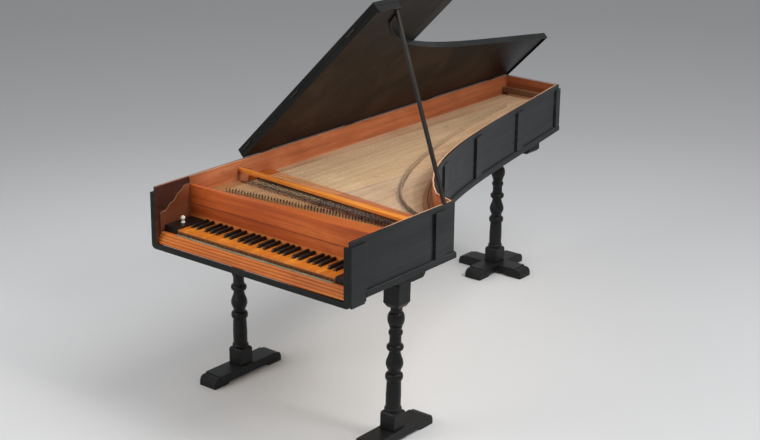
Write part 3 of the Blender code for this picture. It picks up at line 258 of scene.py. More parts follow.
class Finish:
    """One procedural material, with short ways to add the nodes that the finishes share."""

    def __init__(self, name):
        self.material = bpy.data.materials.new(name)
        self.material.use_nodes = True
        self.tree = self.material.node_tree
        self.shader = self.tree.nodes["Principled BSDF"]
        self.place = self.node("TexCoord", {}).outputs["Object"]
        self.geometry = self.node("NewGeometry", {})
        self.normal = self.geometry.outputs["Normal"]
        self.colour = None

    def node(self, kind, sockets, **values):
        """Node with its settings made and its sockets linked or set."""
        made = self.tree.nodes.new("ShaderNode" + kind)
        for name, value in values.items():
            setattr(made, name, value)
        for socket, value in sockets.items():
            self.put(made.inputs[socket], value)
        return made

    def put(self, socket, value):
        """Link a socket to another, or set its value."""
        if isinstance(value, bpy.types.NodeSocket):
            self.tree.links.new(value, socket)
        elif socket.type == "RGBA":
            socket.default_value = (*value, 1.0)
        else:
            socket.default_value = value

    def stretch(self, scale):
        """Place of the surface, stretched along the axes."""
        return self.node("Mapping", {"Vector": self.place, "Scale": scale}).outputs["Vector"]

    def noise(self, scale, detail=4.0, roughness=0.5, distortion=0.0, vector=None):
        sockets = {"Vector": self.place if vector is None else vector, "Scale": scale, "Detail": detail,
                   "Roughness": roughness, "Distortion": distortion}
        return self.node("TexNoise", sockets).outputs["Fac"]

    def math(self, operation, first, second=0.0):
        return self.node("Math", {0: first, 1: second}, operation=operation).outputs[0]

    def product(self, first, second):
        return self.math("MULTIPLY", first, second)

    def fibres(self, grain):
        return self.noise(1.0, 6.0, 0.6, 0.3, self.stretch(GRAIN[grain]))

    def weighted(self, *terms):
        """Sum of values, each times its weight."""
        total = None
        for value, weight in terms:
            term = self.product(value, weight)
            total = term if total is None else self.math("ADD", total, term)
        return total

    def gap(self, value, place):
        """How far a value is from another."""
        return self.math("ABSOLUTE", self.math("SUBTRACT", value, place))

    def spread(self, value, low, high, first=0.0, second=1.0):
        """Smooth passage between two levels of a value."""
        sockets = {"Value": value, "From Min": low, "From Max": high, "To Min": first, "To Max": second}
        return self.node("MapRange", sockets, interpolation_type="SMOOTHSTEP").outputs["Result"]

    def ramp(self, factor, stops):
        made = self.node("ValToRGB", {"Fac": factor})
        elements = made.color_ramp.elements
        while len(elements) < len(stops):
            elements.new(0.5)
        for element, (place, colour) in zip(elements, stops):
            element.position = place
            element.color = (*colour, 1.0)
        return made.outputs["Color"]

    def coat(self, share, colour):
        """Lay a colour over the finish so far."""
        sockets = {0: share, 6: self.colour, 7: colour}
        self.colour = self.node("Mix", sockets, data_type="RGBA").outputs[2]

    def axis(self, index, vector=None):
        split = self.node("SeparateXYZ", {0: self.place if vector is None else vector})
        return split.outputs[index]

    def openness(self, distance, samples=4):
        """1 on open faces, less in the piece's own hollows."""
        made = self.node("AmbientOcclusion", {"Distance": distance}, samples=samples, only_local=True)
        return made.outputs["AO"]

    def edges(self, radius):
        """1 along outer edges, 0 elsewhere: where the rounded and the flat normal differ."""
        rounded = self.node("Bevel", {"Radius": radius}, samples=4).outputs["Normal"]
        dot = self.node("VectorMath", {0: rounded, 1: self.normal}, operation="DOT_PRODUCT")
        bent = self.math("SUBTRACT", 1.0, dot.outputs["Value"])
        return self.product(self.spread(bent, 0.02, 0.2),
                         self.spread(self.openness(2.5 * radius), 0.8, 0.95))

    def bump(self, height, strength, distance):
        made = self.node("Bump", {"Height": height, "Strength": strength, "Distance": distance})
        self.put(self.shader.inputs["Normal"], made.outputs["Normal"])

    def done(self, level, low, high, metallic=0.0, specular=0.5):
        """Link the colour, and a roughness between two values, to the shader."""
        roughness = self.spread(level, 0.3, 0.7, low, high)
        sockets = {"Base Color": self.colour, "Roughness": roughness, "Metallic": metallic,
                   "Specular IOR Level": specular}
        for name, value in sockets.items():
            self.put(self.shader.inputs[name], value)
        return self.material


def times(factor, colour):
    """A colour made lighter or darker."""
    return tuple(factor * c for c in colour)


# Tones of paint, wear (on the paint's edges also a painted highlight), knots, the painted shadow at the
# nameboard's joint, and key covers
ARM = ((0.036, 0.008, 0.004), (0.078, 0.018, 0.007), (0.135, 0.033, 0.012))
ARM_END_GRAIN = (0.42, 0.2, 0.11)
PAINT_SPECK = (0.06, 0.055, 0.048)
PAINT_WEAR_AND_HIGHLIGHT = ((0.3, (0.075, 0.04, 0.022)), (0.7, (0.22, 0.125, 0.066)))
RIM_BARE = (0.26, 0.105, 0.055)
KNOT = (0.05, 0.018, 0.008)
SPLIT_SHADOW = (0.055, 0.012, 0.005)
NAMEBOARD_STRIP_TONE = (0.72, 0.26, 0.06)
BRIDGE_TAIL_TONE = (0.42, 0.28, 0.17)
PLANK_STRIP_TONE = (0.46, 0.105, 0.02)
PLATES = ((0.15, (0.5, 0.125, 0.01)), (0.5, (0.62, 0.18, 0.014)), (0.9, (0.76, 0.265, 0.03)))
PLATE_TOUCHED = (0.4, 0.11, 0.014)
PLATE_SCORE = (0.12, 0.045, 0.012)
SHARPS = ((0.3, (0.006, 0.004, 0.0035)), (0.7, (0.018, 0.012, 0.009)))
SHARP_FRONT_TONE = (0.16, 0.07, 0.026)
SHARP_EDGE_TONE = (0.11, 0.055, 0.026)

# Stretch of the grain along an axis, or level in all directions
GRAIN = {"x": (1.6, 42.0, 42.0), "y": (42.0, 1.6, 42.0), "z": (42.0, 42.0, 1.6), "round": (1.6, 1.6, 42.0)}

# Where fingers grey the naturals, and the line scored at the fronts of the sharps
KEY_TOUCH = (ORIGIN.y + 0.06, ORIGIN.y + 0.1)
SCORE_LINE = ORIGIN.y + SHARP_FRONT - 0.0025


def black_paint(name, tone, grain, worn=0.5, radius=0.0022, smoothness=0.44, shine=0.25, inside=None,
                rim=None):
    """Old black paint: brushed, slightly grey where it is rubbed, worn to the wood along its edges, which
    also serves as a painted highlight there.
    """
    f = Finish(name)
    fibres = f.fibres(grain)
    clouds = f.noise(3.2, 4.0, 0.55, 0.6)
    specks = f.noise(140.0, 3.0, 0.6)
    level = f.weighted((clouds, 0.6), (fibres, 0.4))
    f.colour = f.ramp(level, ((0.3, times(0.45, tone)), (0.5, tone), (0.72, times(2.1, tone))))
    f.coat(f.spread(specks, 0.62, 0.75, 0.0, 0.35), PAINT_SPECK)
    rub = f.noise(22.0, 5.0, 0.65, 0.4)
    # Bare wood along the edges: wear, and also a painted highlight where the edges catch light
    edge = f.product(f.edges(radius), f.spread(rub, 0.6 - 0.22 * worn, 0.78 - 0.18 * worn))
    f.coat(f.product(edge, 0.35 + 0.6 * worn), f.ramp(fibres, PAINT_WEAR_AND_HIGHLIGHT))
    if inside is not None:
        f.coat(inside(f), f.ramp(level, tuple(zip((0.32, 0.5, 0.66), ARM))))
    if rim is not None:
        worn_off = f.product(rim(f), f.spread(rub, 0.3, 0.55, 0.55, 1.0))
        f.coat(worn_off, RIM_BARE)
    f.bump(f.weighted((fibres, 0.7), (specks, 0.3)), 0.35, 0.0008)
    mottle = f.weighted((clouds, 0.7), (specks, 0.3))
    return f.done(mottle, smoothness - 0.08, smoothness + 0.14, specular=shine)


def within_sides(f, low, high):
    """1 between two planes that lie at the same depth inside either side of the case."""
    side = f.gap(f.axis(0), ORIGIN.x + CASE_WIDTH / 2)
    return f.spread(side, CASE_WIDTH / 2 - low, CASE_WIDTH / 2 - high, 1.0, 0.0)


def bare_wall(f):
    """1 on the walls' bare inner faces beside the keyboard."""
    inner = within_sides(f, WALL + 0.0008, WALL - 0.001)
    low = f.spread(f.axis(2), RIM_TOP - 0.0012, RIM_TOP - 0.0004, 1.0, 0.0)
    end = ORIGIN.y + BARE_WALL_END
    near = f.spread(f.axis(1), end - 0.001, end + 0.001, 1.0, 0.0)
    return f.product(near, f.product(inner, low))


def bare_rim(f):
    """1 on the top of the spine, where the paint is worn off."""
    inner = ORIGIN.x + WALL
    left = f.spread(f.axis(0), inner + 0.001, inner + 0.002, 1.0, 0.0)
    return f.product(left, f.spread(f.axis(2), RIM_TOP - 0.0016, RIM_TOP - 0.0008))


def bare_stile(f):
    """1 on the inner faces of the front frame's stiles, above its rail."""
    inner = within_sides(f, STILE_PAINT + 0.0004, STILE_PAINT - 0.0004)
    return f.product(inner, f.spread(f.axis(2), FRAME_RAIL_TOP + 0.001, FRAME_RAIL_TOP + 0.003))


def wood(name, tones, grain, scale=1.0, knots=0.0, stain=None, stain_level=0.62, edge=None, smoothness=0.45,
         boards=None, top=None, shade=None, hollow_shade=0.0):
    """Plain sawn or planed wood: three tones along its grain, patches, stains, knots and rubbed edges;
    painted light on upward faces and painted shade in its hollows.
    """
    f = Finish(name)
    vector = f.stretch(times(scale, GRAIN[grain]))
    fibres = f.noise(1.0, 7.0, 0.62, 0.5, vector)
    rings = f.noise(0.33, 3.0, 0.5, 1.4, vector)
    pores = f.noise(3.4, 3.0, 0.7, 0.0, vector)
    patches = f.noise(2.6, 4.0, 0.55, 0.8)
    level = f.weighted((fibres, 0.4), (rings, 0.28), (patches, 0.32))
    f.colour = f.ramp(level, tuple(zip((0.39, 0.5, 0.61), tones)))
    f.coat(f.spread(pores, 0.54, 0.7, 0.0, 0.4), times(0.5, tones[0]))
    if stain is not None:
        cloud = f.noise(5.5, 5.0, 0.6, 1.0, f.stretch(tuple(s ** 0.25 for s in GRAIN[grain])))
        f.coat(f.spread(cloud, stain_level, stain_level + 0.16, 0.0, 0.75), stain)
    if knots:
        place = f.stretch(tuple(s ** 0.12 for s in GRAIN[grain]))
        centre = f.node("TexVoronoi", {"Vector": place, "Scale": knots}).outputs["Distance"]
        f.coat(f.spread(centre, 0.045, 0.11, 0.85, 0.0), KNOT)
        f.coat(f.spread(centre, 0.1, 0.26, 0.3, 0.0), tones[0])
    if boards:
        index, pitch, offset = boards
        along = f.math("FRACT", f.math("DIVIDE", f.math("SUBTRACT", f.axis(index), offset), pitch))
        f.coat(f.spread(f.gap(along, 0.5), 0.0, 0.006, 0.5, 0.0), times(0.35, tones[0]))
    # Lighter convex edges: rubbed wood, and on the key slip's reeds a painted highlight
    if edge is not None:
        rub = f.spread(f.noise(18.0, 4.0, 0.6), 0.34, 0.56, 0.2, 0.9)
        f.coat(f.product(f.edges(0.0016), rub), edge)
    # Painted light: faces that look up get a lighter tone, as if lit from above
    if top is not None:
        lit_upward = f.spread(f.axis(2, f.normal), 0.7, 0.9)
        f.coat(f.product(lit_upward, f.spread(fibres, 0.35, 0.55, 0.6, 1.0)), top)
    if shade is not None:
        shade(f)
    # Painted shade: a darker tone in the piece's own hollows and grooves, where shade falls
    if hollow_shade:
        darkening = f.spread(f.openness(hollow_shade, 6), 0.55, 0.92, 0.85, 0.0)
        f.coat(darkening, times(0.2, tones[0]))
    f.bump(f.weighted((fibres, 0.6), (pores, 0.4)), 0.25, 0.0006)
    mottle = f.weighted((fibres, 0.5), (patches, 0.5))
    return f.done(mottle, smoothness - 0.07, smoothness + 0.15, specular=0.3)


def arm_shade(f):
    """The side linings darken towards the keyboard, and the scroll's narrow edge is pale end grain."""
    near = f.spread(f.axis(1), ORIGIN.y + 0.1, ORIGIN.y + 0.3, 0.85, 0.0)
    f.coat(near, ARM[1])
    sideways = f.math("ABSOLUTE", f.axis(0, f.normal))
    end_grain = f.product(f.spread(sideways, 0.3, 0.6, 1.0, 0.0), near)
    f.coat(end_grain, ARM_END_GRAIN)


def nameboard_shade(f):
    """Painted shadow: a dark line along the joint between the nameboard's two boards; and a lighter strip
    along its foot.
    """
    # Painted shadow: a dark line at the height of the joint between the two boards
    line = f.gap(f.axis(2), NAMEBOARD_SPLIT)
    f.coat(f.spread(line, 0.0009, 0.0016, 0.85, 0.0), SPLIT_SHADOW)
    foot = f.spread(f.axis(2), NAMEBOARD_STRIP, NAMEBOARD_STRIP + 0.008, 0.5, 0.0)
    f.coat(foot, NAMEBOARD_STRIP_TONE)


def bridge_shade(f):
    """The bridge is paler towards the tail."""
    f.coat(f.spread(f.axis(1), ORIGIN.y + 0.9, ORIGIN.y + 1.7, 0.0, 0.8), BRIDGE_TAIL_TONE)


def plank_shade(f):
    """Front strip of the wrestplank is as red as the nameboard."""
    line = f.math("SUBTRACT", f.axis(1), f.product(f.axis(0), PIN_SLOPE))
    front = ORIGIN.y + PLANK_STRIP - PIN_SLOPE * ORIGIN.x
    f.coat(f.spread(line, front - 0.001, front + 0.001, 0.9, 0.0), PLANK_STRIP_TONE)


def key_wood(name):
    """Boxwood key plates: each of its own tone, greyed where fingers fall, scored at the sharps."""
    f = Finish(name)
    fibres = f.fibres("y")
    each = f.geometry.outputs["Random Per Island"]
    f.colour = f.ramp(f.weighted((fibres, 0.45), (each, 0.55)), PLATES)
    touch = f.product(f.noise(60.0, 4.0, 0.6), f.spread(f.axis(1), *KEY_TOUCH, 1.0, 0.0))
    f.coat(f.spread(touch, 0.35, 0.62, 0.0, 0.5), PLATE_TOUCHED)
    line = f.gap(f.axis(1), SCORE_LINE)
    f.coat(f.spread(line, 0.0002, 0.0005, 0.7, 0.0), PLATE_SCORE)
    f.bump(f.math("SUBTRACT", fibres, f.spread(line, 0.0002, 0.0006, 1.0, 0.0)), 0.3, 0.0003)
    return f.done(fibres, 0.26, 0.42)


def sharp_wood(name):
    """Stained black sharps, slightly brown on their front ends."""
    f = Finish(name)
    fibres = f.fibres("y")
    facing = f.product(f.axis(1, f.normal), -1.0)
    rub = f.spread(f.noise(90.0, 3.0), 0.35, 0.6, 0.1, 0.4)
    front = f.product(f.spread(facing, 0.35, 0.9), rub)
    f.colour = f.ramp(fibres, SHARPS)
    f.coat(front, SHARP_FRONT_TONE)
    f.coat(f.product(f.edges(0.001), 0.15), SHARP_EDGE_TONE)
    f.bump(fibres, 0.25, 0.0003)
    return f.done(fibres, 0.34, 0.5, specular=0.22)


def metal(name, tones, roughness):
    """Old metal: two tones in small clouds, with fine scratches."""
    f = Finish(name)
    clouds = f.noise(90.0, 4.0, 0.6, 0.5)
    scratches = f.noise(400.0, 2.0, 0.5)
    f.colour = f.ramp(clouds, ((0.35, tones[0]), (0.65, tones[1])))
    f.bump(scratches, 0.2, 0.0002)
    return f.done(clouds, roughness - 0.08, roughness + 0.12, metallic=1.0)


def cloth(name, tones, threads=900.0):
    """Woven or felted wool strip."""
    f = Finish(name)
    waves = []
    for direction in "XY":
        sockets = {"Vector": f.place, "Scale": threads, "Distortion": 1.5}
        waves.append(f.node("TexWave", sockets, bands_direction=direction).outputs["Fac"])
    fuzz = f.noise(500.0, 4.0, 0.7)
    level = f.weighted((f.product(*waves), 0.4), (fuzz, 0.6))
    f.colour = f.ramp(level, ((0.25, tones[0]), (0.65, tones[1])))
    worn = f.spread(f.noise(12.0, 3.0), 0.45, 0.65, 0.0, 0.35)
    f.coat(worn, times(0.6, tones[0]))
    f.bump(level, 0.6, 0.0006)
    return f.done(level, 0.92, 0.92, specular=0.2)


def ivory(name):
    """Turned bone or ivory with faint rings and dirt in its neck."""
    f = Finish(name)
    rings = f.noise(1.0, 3.0, 0.5, 0.2, f.stretch((60.0, 60.0, 600.0)))
    darkening = f.noise(220.0, 4.0, 0.6)
    f.colour = f.ramp(rings, ((0.35, (0.72, 0.67, 0.55)), (0.65, (0.86, 0.83, 0.74))))
    f.coat(f.spread(darkening, 0.6, 0.78, 0.0, 0.5), (0.35, 0.25, 0.14))
    f.bump(rings, 0.15, 0.0003)
    return f.done(rings, 0.25, 0.38)


# Dark, middle and light tone of each wood
ORANGE = ((0.34, 0.06, 0.011), (0.51, 0.105, 0.019), (0.64, 0.165, 0.036))
RED = ((0.3, 0.08, 0.028), (0.46, 0.14, 0.052), (0.6, 0.225, 0.095))
BRIGHT = ((0.54, 0.16, 0.02), (0.72, 0.24, 0.032), (0.86, 0.35, 0.065))
DEEP = ((0.38, 0.085, 0.012), (0.56, 0.145, 0.022), (0.7, 0.225, 0.042))
TAN = ((0.27, 0.11, 0.04), (0.37, 0.165, 0.063), (0.46, 0.235, 0.1))
PALE = ((0.42, 0.27, 0.14), (0.54, 0.37, 0.2), (0.64, 0.46, 0.27))
BOARD = ((0.42, 0.25, 0.14), (0.56, 0.36, 0.21), (0.68, 0.47, 0.3))
DARK_BROWN = ((0.07, 0.036, 0.02), (0.13, 0.07, 0.04), (0.21, 0.12, 0.07))
CLEAT = ((0.12, 0.055, 0.028), (0.2, 0.095, 0.048), (0.3, 0.15, 0.08))
HITCH = ((0.34, 0.15, 0.07), (0.48, 0.25, 0.12), (0.6, 0.35, 0.19))
NUT = ((0.11, 0.036, 0.016), (0.18, 0.062, 0.028), (0.25, 0.095, 0.044))
DAMPER = ((0.09, 0.035, 0.018), (0.17, 0.07, 0.034), (0.34, 0.17, 0.09))
ARCADE = ((0.08, 0.022, 0.006), (0.16, 0.045, 0.01), (0.26, 0.085, 0.018))
PAPER = ((0.42, 0.33, 0.21), (0.54, 0.44, 0.3), (0.64, 0.54, 0.38))
HOOK = ((0.06, 0.014, 0.01), (0.11, 0.026, 0.018), (0.17, 0.045, 0.03))

FINISH = {
    "case": black_paint("case_paint", (0.016, 0.018, 0.019), "round", worn=0.85, radius=0.003, shine=0.26,
                        inside=bare_wall, rim=bare_rim),
    "front": black_paint("front_paint", (0.011, 0.012, 0.012), "x", worn=0.45, shine=0.14,
                         inside=bare_stile),
    "moulding": black_paint("moulding_paint", (0.014, 0.015, 0.016), "round", worn=1.0, radius=0.004,
                            shine=0.22),
    # Lid: plain black paint, set darker than the case's as painted shade for its shaded underside
    "lid": black_paint("lid_shaded_paint", (0.0055, 0.0056, 0.0052), "y", worn=0.6, shine=0.16),
    "fall": black_paint("fall_paint", (0.014, 0.015, 0.014), "x", worn=0.5, shine=0.2),
    "stand": black_paint("stand_paint", (0.01, 0.01, 0.01), "z", worn=0.5, smoothness=0.34, shine=0.18),
    "foot": black_paint("foot_paint", (0.01, 0.01, 0.01), "y", worn=0.8, smoothness=0.36, shine=0.2),
    "prop": black_paint("prop_paint", (0.02, 0.017, 0.014), "z", worn=0.9, shine=0.25),
    "block": black_paint("block_stain", (0.012, 0.009, 0.007), "y", worn=0.35, smoothness=0.36, shine=0.22),
    "nameboard": wood("nameboard_wood", ORANGE, "x", stain=(0.24, 0.045, 0.01), edge=(0.8, 0.36, 0.14),
                      shade=nameboard_shade),
    # Linings and arms: the lighter tone on their tops is painted light
    "lining": wood("lining_wood", RED, "round", knots=2.2, stain=(0.16, 0.045, 0.018), stain_level=0.6,
                   edge=(0.62, 0.3, 0.16), top=(0.66, 0.36, 0.22)),
    "arm": wood("arm_wood", RED, "y", knots=1.6, stain=(0.14, 0.036, 0.014), edge=(0.7, 0.38, 0.22),
                top=(0.62, 0.33, 0.2), shade=arm_shade),
    # Key slip: its lighter reed edges are a painted highlight and its darker grooves painted shade
    "slip": wood("slip_wood", DEEP, "x", stain=(0.22, 0.045, 0.01), edge=(0.86, 0.36, 0.1), smoothness=0.4,
                 hollow_shade=0.006),
    "damper_rail": wood("damper_rail_wood", BRIGHT, "x", edge=(0.8, 0.42, 0.16), smoothness=0.42),
    "cap": wood("cap_wood", DEEP, "x", stain=(0.26, 0.055, 0.012)),
    "plank": wood("plank_wood", TAN, "x", stain=(0.42, 0.18, 0.06), smoothness=0.5, shade=plank_shade),
    "cleat": wood("cleat_wood", CLEAT, "x"),
    "board": wood("soundboard_grain", BOARD, "y", scale=1.6, stain=(0.28, 0.165, 0.095), stain_level=0.6,
                  smoothness=0.5, boards=(0, 0.118, 0.03)),
    "hitch": wood("hitch_wood", HITCH, "round"),
    "pine": wood("pine_wood", PALE, "y", stain=(0.27, 0.15, 0.07)),
    "pine_x": wood("pine_cross", PALE, "x", stain=(0.27, 0.15, 0.07)),
    # Bridge: its lighter top against its dark walnut sides is painted light
    "walnut": wood("walnut_wood", DARK_BROWN, "y", smoothness=0.4, top=(0.36, 0.225, 0.13),
                   shade=bridge_shade),
    "nut": wood("nut_wood", NUT, "x"),
    "slipwood": wood("damper_wood", DAMPER, "z", scale=3.0),
    "boxwood": key_wood("boxwood_plate"),
    # Arcades: the darker steps of the arches are painted shade
    "arcade": wood("arcade_wood", ARCADE, "z", scale=2.5, edge=(0.6, 0.26, 0.06), hollow_shade=0.004),
    "ebony": sharp_wood("sharp_stain"),
    "ivory": ivory("knob_ivory"),
    "brass": metal("string_brass", ((0.62, 0.48, 0.28), (0.86, 0.72, 0.48)), 0.42),
    "steel": metal("string_steel", ((0.3, 0.28, 0.25), (0.5, 0.47, 0.42)), 0.36),
    "iron": metal("pin_iron", ((0.045, 0.038, 0.032), (0.1, 0.085, 0.07)), 0.48),
    "cloth": cloth("key_cloth", ((0.105, 0.11, 0.085), (0.215, 0.225, 0.18))),
    "pale_cloth": cloth("slip_cloth", ((0.16, 0.165, 0.115), (0.36, 0.37, 0.27))),
    "felt": cloth("damper_cloth", ((0.035, 0.028, 0.024), (0.085, 0.07, 0.058))),
    "leather": cloth("hammer_leather", ((0.32, 0.22, 0.13), (0.48, 0.36, 0.23)), 500.0),
    "paper": wood("hammer_paper", PAPER, "x", scale=2.0),
    "hook": wood("hook_stain", HOOK, "z", scale=3.0),
}

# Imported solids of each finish, and how much its edges are rounded
CAD_FINISH = {
    "case": ("cheek_wall", "bentside_wall", "tail_wall", "spine_wall"),
    "moulding": ("base_moulding",),
    "front": ("front_frame",),
    "lid": ("lid", "lid_flap"),
    "fall": ("fall_board",),
    "prop": ("prop_stick",),
    "block": ("keyblock_left", "keyblock_right"),
    "nameboard": ("nameboard_lower", "nameboard_upper"),
    "lining": ("bentside_lining", "tail_lining", "return_lining"),
    "arm": ("cheek_lining", "spine_lining"),
    "slip": ("key_slip",),
    "damper_rail": ("damper_rail",),
    "cap": ("belly_rail_cap",),
    "plank": ("wrestplank",),
    "board": ("soundboard",),
    "hitch": ("hitchpin_rail",),
    "pine": ("bottom_board", "liner"),
    "pine_x": ("key_frame", "hammer_rail", "belly_rail", "soundboard_ribs", "bottom_braces"),
    "walnut": ("bridge",),
    "nut": ("nut",),
    "foot": ("front_left_foot", "front_right_foot", "rear_foot"),
    "stand": ("front_left_bearer", "front_right_bearer", "rear_bearer"),
    "ivory": ("stop_knob",),
}
ROUNDING = {"case": 0.0012, "moulding": 0.0015, "front": 0.0014, "lid": 0.0016, "fall": 0.0014,
            "prop": 0.001, "block": 0.0014, "nameboard": 0.001, "arm": 0.0008, "foot": 0.003,
            "stand": 0.002, "damper_rail": 0.001, "cap": 0.0008, "slip": 0.0005}
ROUND_ANGLE = math.radians(38)


def round_edges(made, width):
    """Slightly rounded edges, by a modifier."""
    rounding = made.modifiers.new("rounding", "BEVEL")
    rounding.width = width
    rounding.segments = 2
    rounding.limit_method = "ANGLE"
    rounding.angle_limit = ROUND_ANGLE


def dress_solids():
    """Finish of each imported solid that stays, with its long edges slightly rounded."""
    for finish, names in CAD_FINISH.items():
        for name in names:
            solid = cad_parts[name]
            solid.data.materials.clear()
            solid.data.materials.append(FINISH[finish])
            if finish in ROUNDING:
                weld = solid.modifiers.new("weld", "WELD")
                weld.merge_threshold = 1e-5
                round_edges(solid, ROUNDING[finish])
                solid.modifiers.new("normals", "WEIGHTED_NORMAL")


def loft(rings, solid=None, hoop=False):
    """Solid through rings of equally many points, capped at both ends or closed into a hoop."""
    solid = solid or bmesh.new()
    loops = [[solid.verts.new(point) for point in ring] for ring in rings]
    followers = loops[1:] + loops[:1] if hoop else loops[1:]
    for first, second in zip(loops, followers):
        for index in range(len(first)):
            after = (index + 1) % len(first)
            solid.faces.new((first[index], first[after], second[after], second[index]))
    if not hoop:
        solid.faces.new(loops[0][::-1])
        solid.faces.new(loops[-1])
    return solid


def across(profile, left, right, solid=None):
    """Side profile of y and z points drawn across from one x to another."""
    return loft([[at(x, y, z) for y, z in profile] for x in (left, right)], solid)


def box(low, high, solid=None, place=at):
    """Block between two corners, upright in the instrument's frame or in that of another place."""
    corners = ((low[0], low[1]), (high[0], low[1]), (high[0], high[1]), (low[0], high[1]))
    return loft([[place(x, y, z) for x, y in corners] for z in (low[2], high[2])], solid)


def circle(sides):
    """Directions round a circle, each as a cosine and a sine."""
    angles = [2 * math.pi * (step + 0.5) / sides for step in range(sides)]
    return [(math.cos(angle), math.sin(angle)) for angle in angles]


def tube(points, radius, sides=6, solid=None):
    """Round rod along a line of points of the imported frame; radius may be one per point."""
    points = [Vector(point) for point in points]
    radii = radius if hasattr(radius, "__len__") else [radius] * len(points)
    rings = []
    for index, point in enumerate(points):
        before = points[max(index - 1, 0)]
        after = points[min(index + 1, len(points) - 1)]
        turn = (after - before).to_track_quat("Z", "Y")
        rings.append([point + turn @ (radii[index] * Vector((c, s, 0))) for c, s in circle(sides)])
    return loft(rings, solid)


def turned(profile, centre, sides):
    """Turned solid from (height, radius) points, bottom to top, round a point of the instrument."""
    return loft([[at(centre[0] + radius * c, centre[1] + radius * s, height) for c, s in circle(sides)]
                 for height, radius in profile])


def piece(name, solid, finish, body, smooth=None, rounding=None, stands_for=()):
    """Object of one visible piece, which rides on a body of the model."""
    bmesh.ops.recalc_face_normals(solid, faces=solid.faces)
    mesh = bpy.data.meshes.new(name)
    solid.to_mesh(mesh)
    solid.free()
    mesh.materials.append(FINISH[finish])
    if smooth is not None:
        mesh.shade_smooth()
        mesh.set_sharp_from_angle(angle=math.radians(smooth))
    made = placed(name, mesh)
    if rounding is not None:
        round_edges(made, rounding)
    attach(made, body)
    if stands_for:
        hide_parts(*stands_for)
    return made


def turning_points(start, end):
    """The columns' turning as (height, radius) points between two heights."""
    points = []
    for kind, low, high, first, second in TURNING:
        steps = {"bead": 10, "ease": 10, "cone": 2}[kind]
        for step in range(steps + 1):
            turn = math.pi * step / steps
            share = (1 - math.cos(turn)) / 2 if kind == "bead" else step / steps
            rise = math.sin(turn) if kind == "bead" else (1 - math.cos(turn)) / 2
            height = start + (end - start) * (low + (high - low) * share)
            if not points or height > points[-1][0] + 0.0002:
                points.append((height, first + (second - first) * rise))
    return points


def make_columns():
    """Turned columns between their square blocks."""
    base_low = FOOT_HEIGHT + 0.0003
    base_top = base_low + BLOCK_HEIGHT
    corners = ((-1, -1), (1, -1), (1, 1), (-1, 1))
    base_half, half = BASE_BLOCK / 2, CAPITAL_BLOCK / 2
    base = ((base_low, base_half), (base_top - BLOCK_TAPER, base_half), (base_top, base_half * BLOCK_NECK))
    for name, place in STANDS.items():
        top = CASE_BOTTOM - BARS[name] - 0.0006
        capital = ((CAPITAL_BOTTOM, CAPITAL_NECK * half), (CAPITAL_BOTTOM + CAPITAL_TAPER, half),
                   (top, half))
        solids = {"turning": turned(turning_points(base_top, CAPITAL_BOTTOM), place, 48)}
        for label, levels in (("base", base), ("capital", capital)):
            solids[label] = loft([[at(place[0] + reach * x, place[1] + reach * y, z) for x, y in corners]
                                  for z, reach in levels])
        for solid in solids.values():
            for vertex in solid.verts:
                vertex.co.x += LEANS[name] * (vertex.co.z - base_low) / (top - base_low)
        piece(f"{name}_turning", solids["turning"], "stand", "case", smooth=32,
              stands_for=(f"{name}_column",))
        for label in ("base", "capital"):
            piece(f"{name}_{label}", solids[label], "stand", "case", rounding=0.0022)


def key_table():
    """Each key's kind, block, front edges and tail edges."""
    table = []
    left = KEYS_LEFT
    for number, block in enumerate(KEY_BLOCKS):
        whole = block if len(block) > 1 else OCTAVE_BLOCKS[1]
        slot = NATURAL_PITCH * whole.count("N") / len(whole)
        for index, kind in enumerate(block):
            natural = block[:index].count("N")
            front = (left + natural * NATURAL_PITCH, left + (natural + 1) * NATURAL_PITCH)
            tail = (left + index * slot, left + (index + 1) * slot)
            table.append({"kind": kind, "block": number, "front": front, "tail": tail,
                          "middle": sum(tail) / 2})
        left += NATURAL_PITCH * block.count("N")
    return table


KEYS = key_table()


def keys_of(blocks):
    """Keys of one group, from left to right."""
    return [key for key in KEYS if key["block"] in blocks]


def natural_plate(key, solid):
    """Boxwood plate of one natural, wide in front of the sharps and narrow between them."""
    left, right = key["front"][0] + KEY_GAP / 2, key["front"][1] - KEY_GAP / 2
    tail_left, tail_right = max(key["tail"][0] + KEY_GAP, left), min(key["tail"][1] - KEY_GAP, right)
    outline = ((left, KEY_FRONT), (right, KEY_FRONT), (right, NOTCH), (tail_right, NOTCH),
               (tail_right, COVER_END), (tail_left, COVER_END), (tail_left, NOTCH), (left, NOTCH))
    clean = [point for index, point in enumerate(outline) if math.dist(point, outline[index - 1]) > 1e-5]
    heights = (NATURAL_TOP - PLATE, NATURAL_TOP - 0.0008, NATURAL_TOP)
    loft([[at(x, y, height) for x, y in clean] for height in heights], solid)


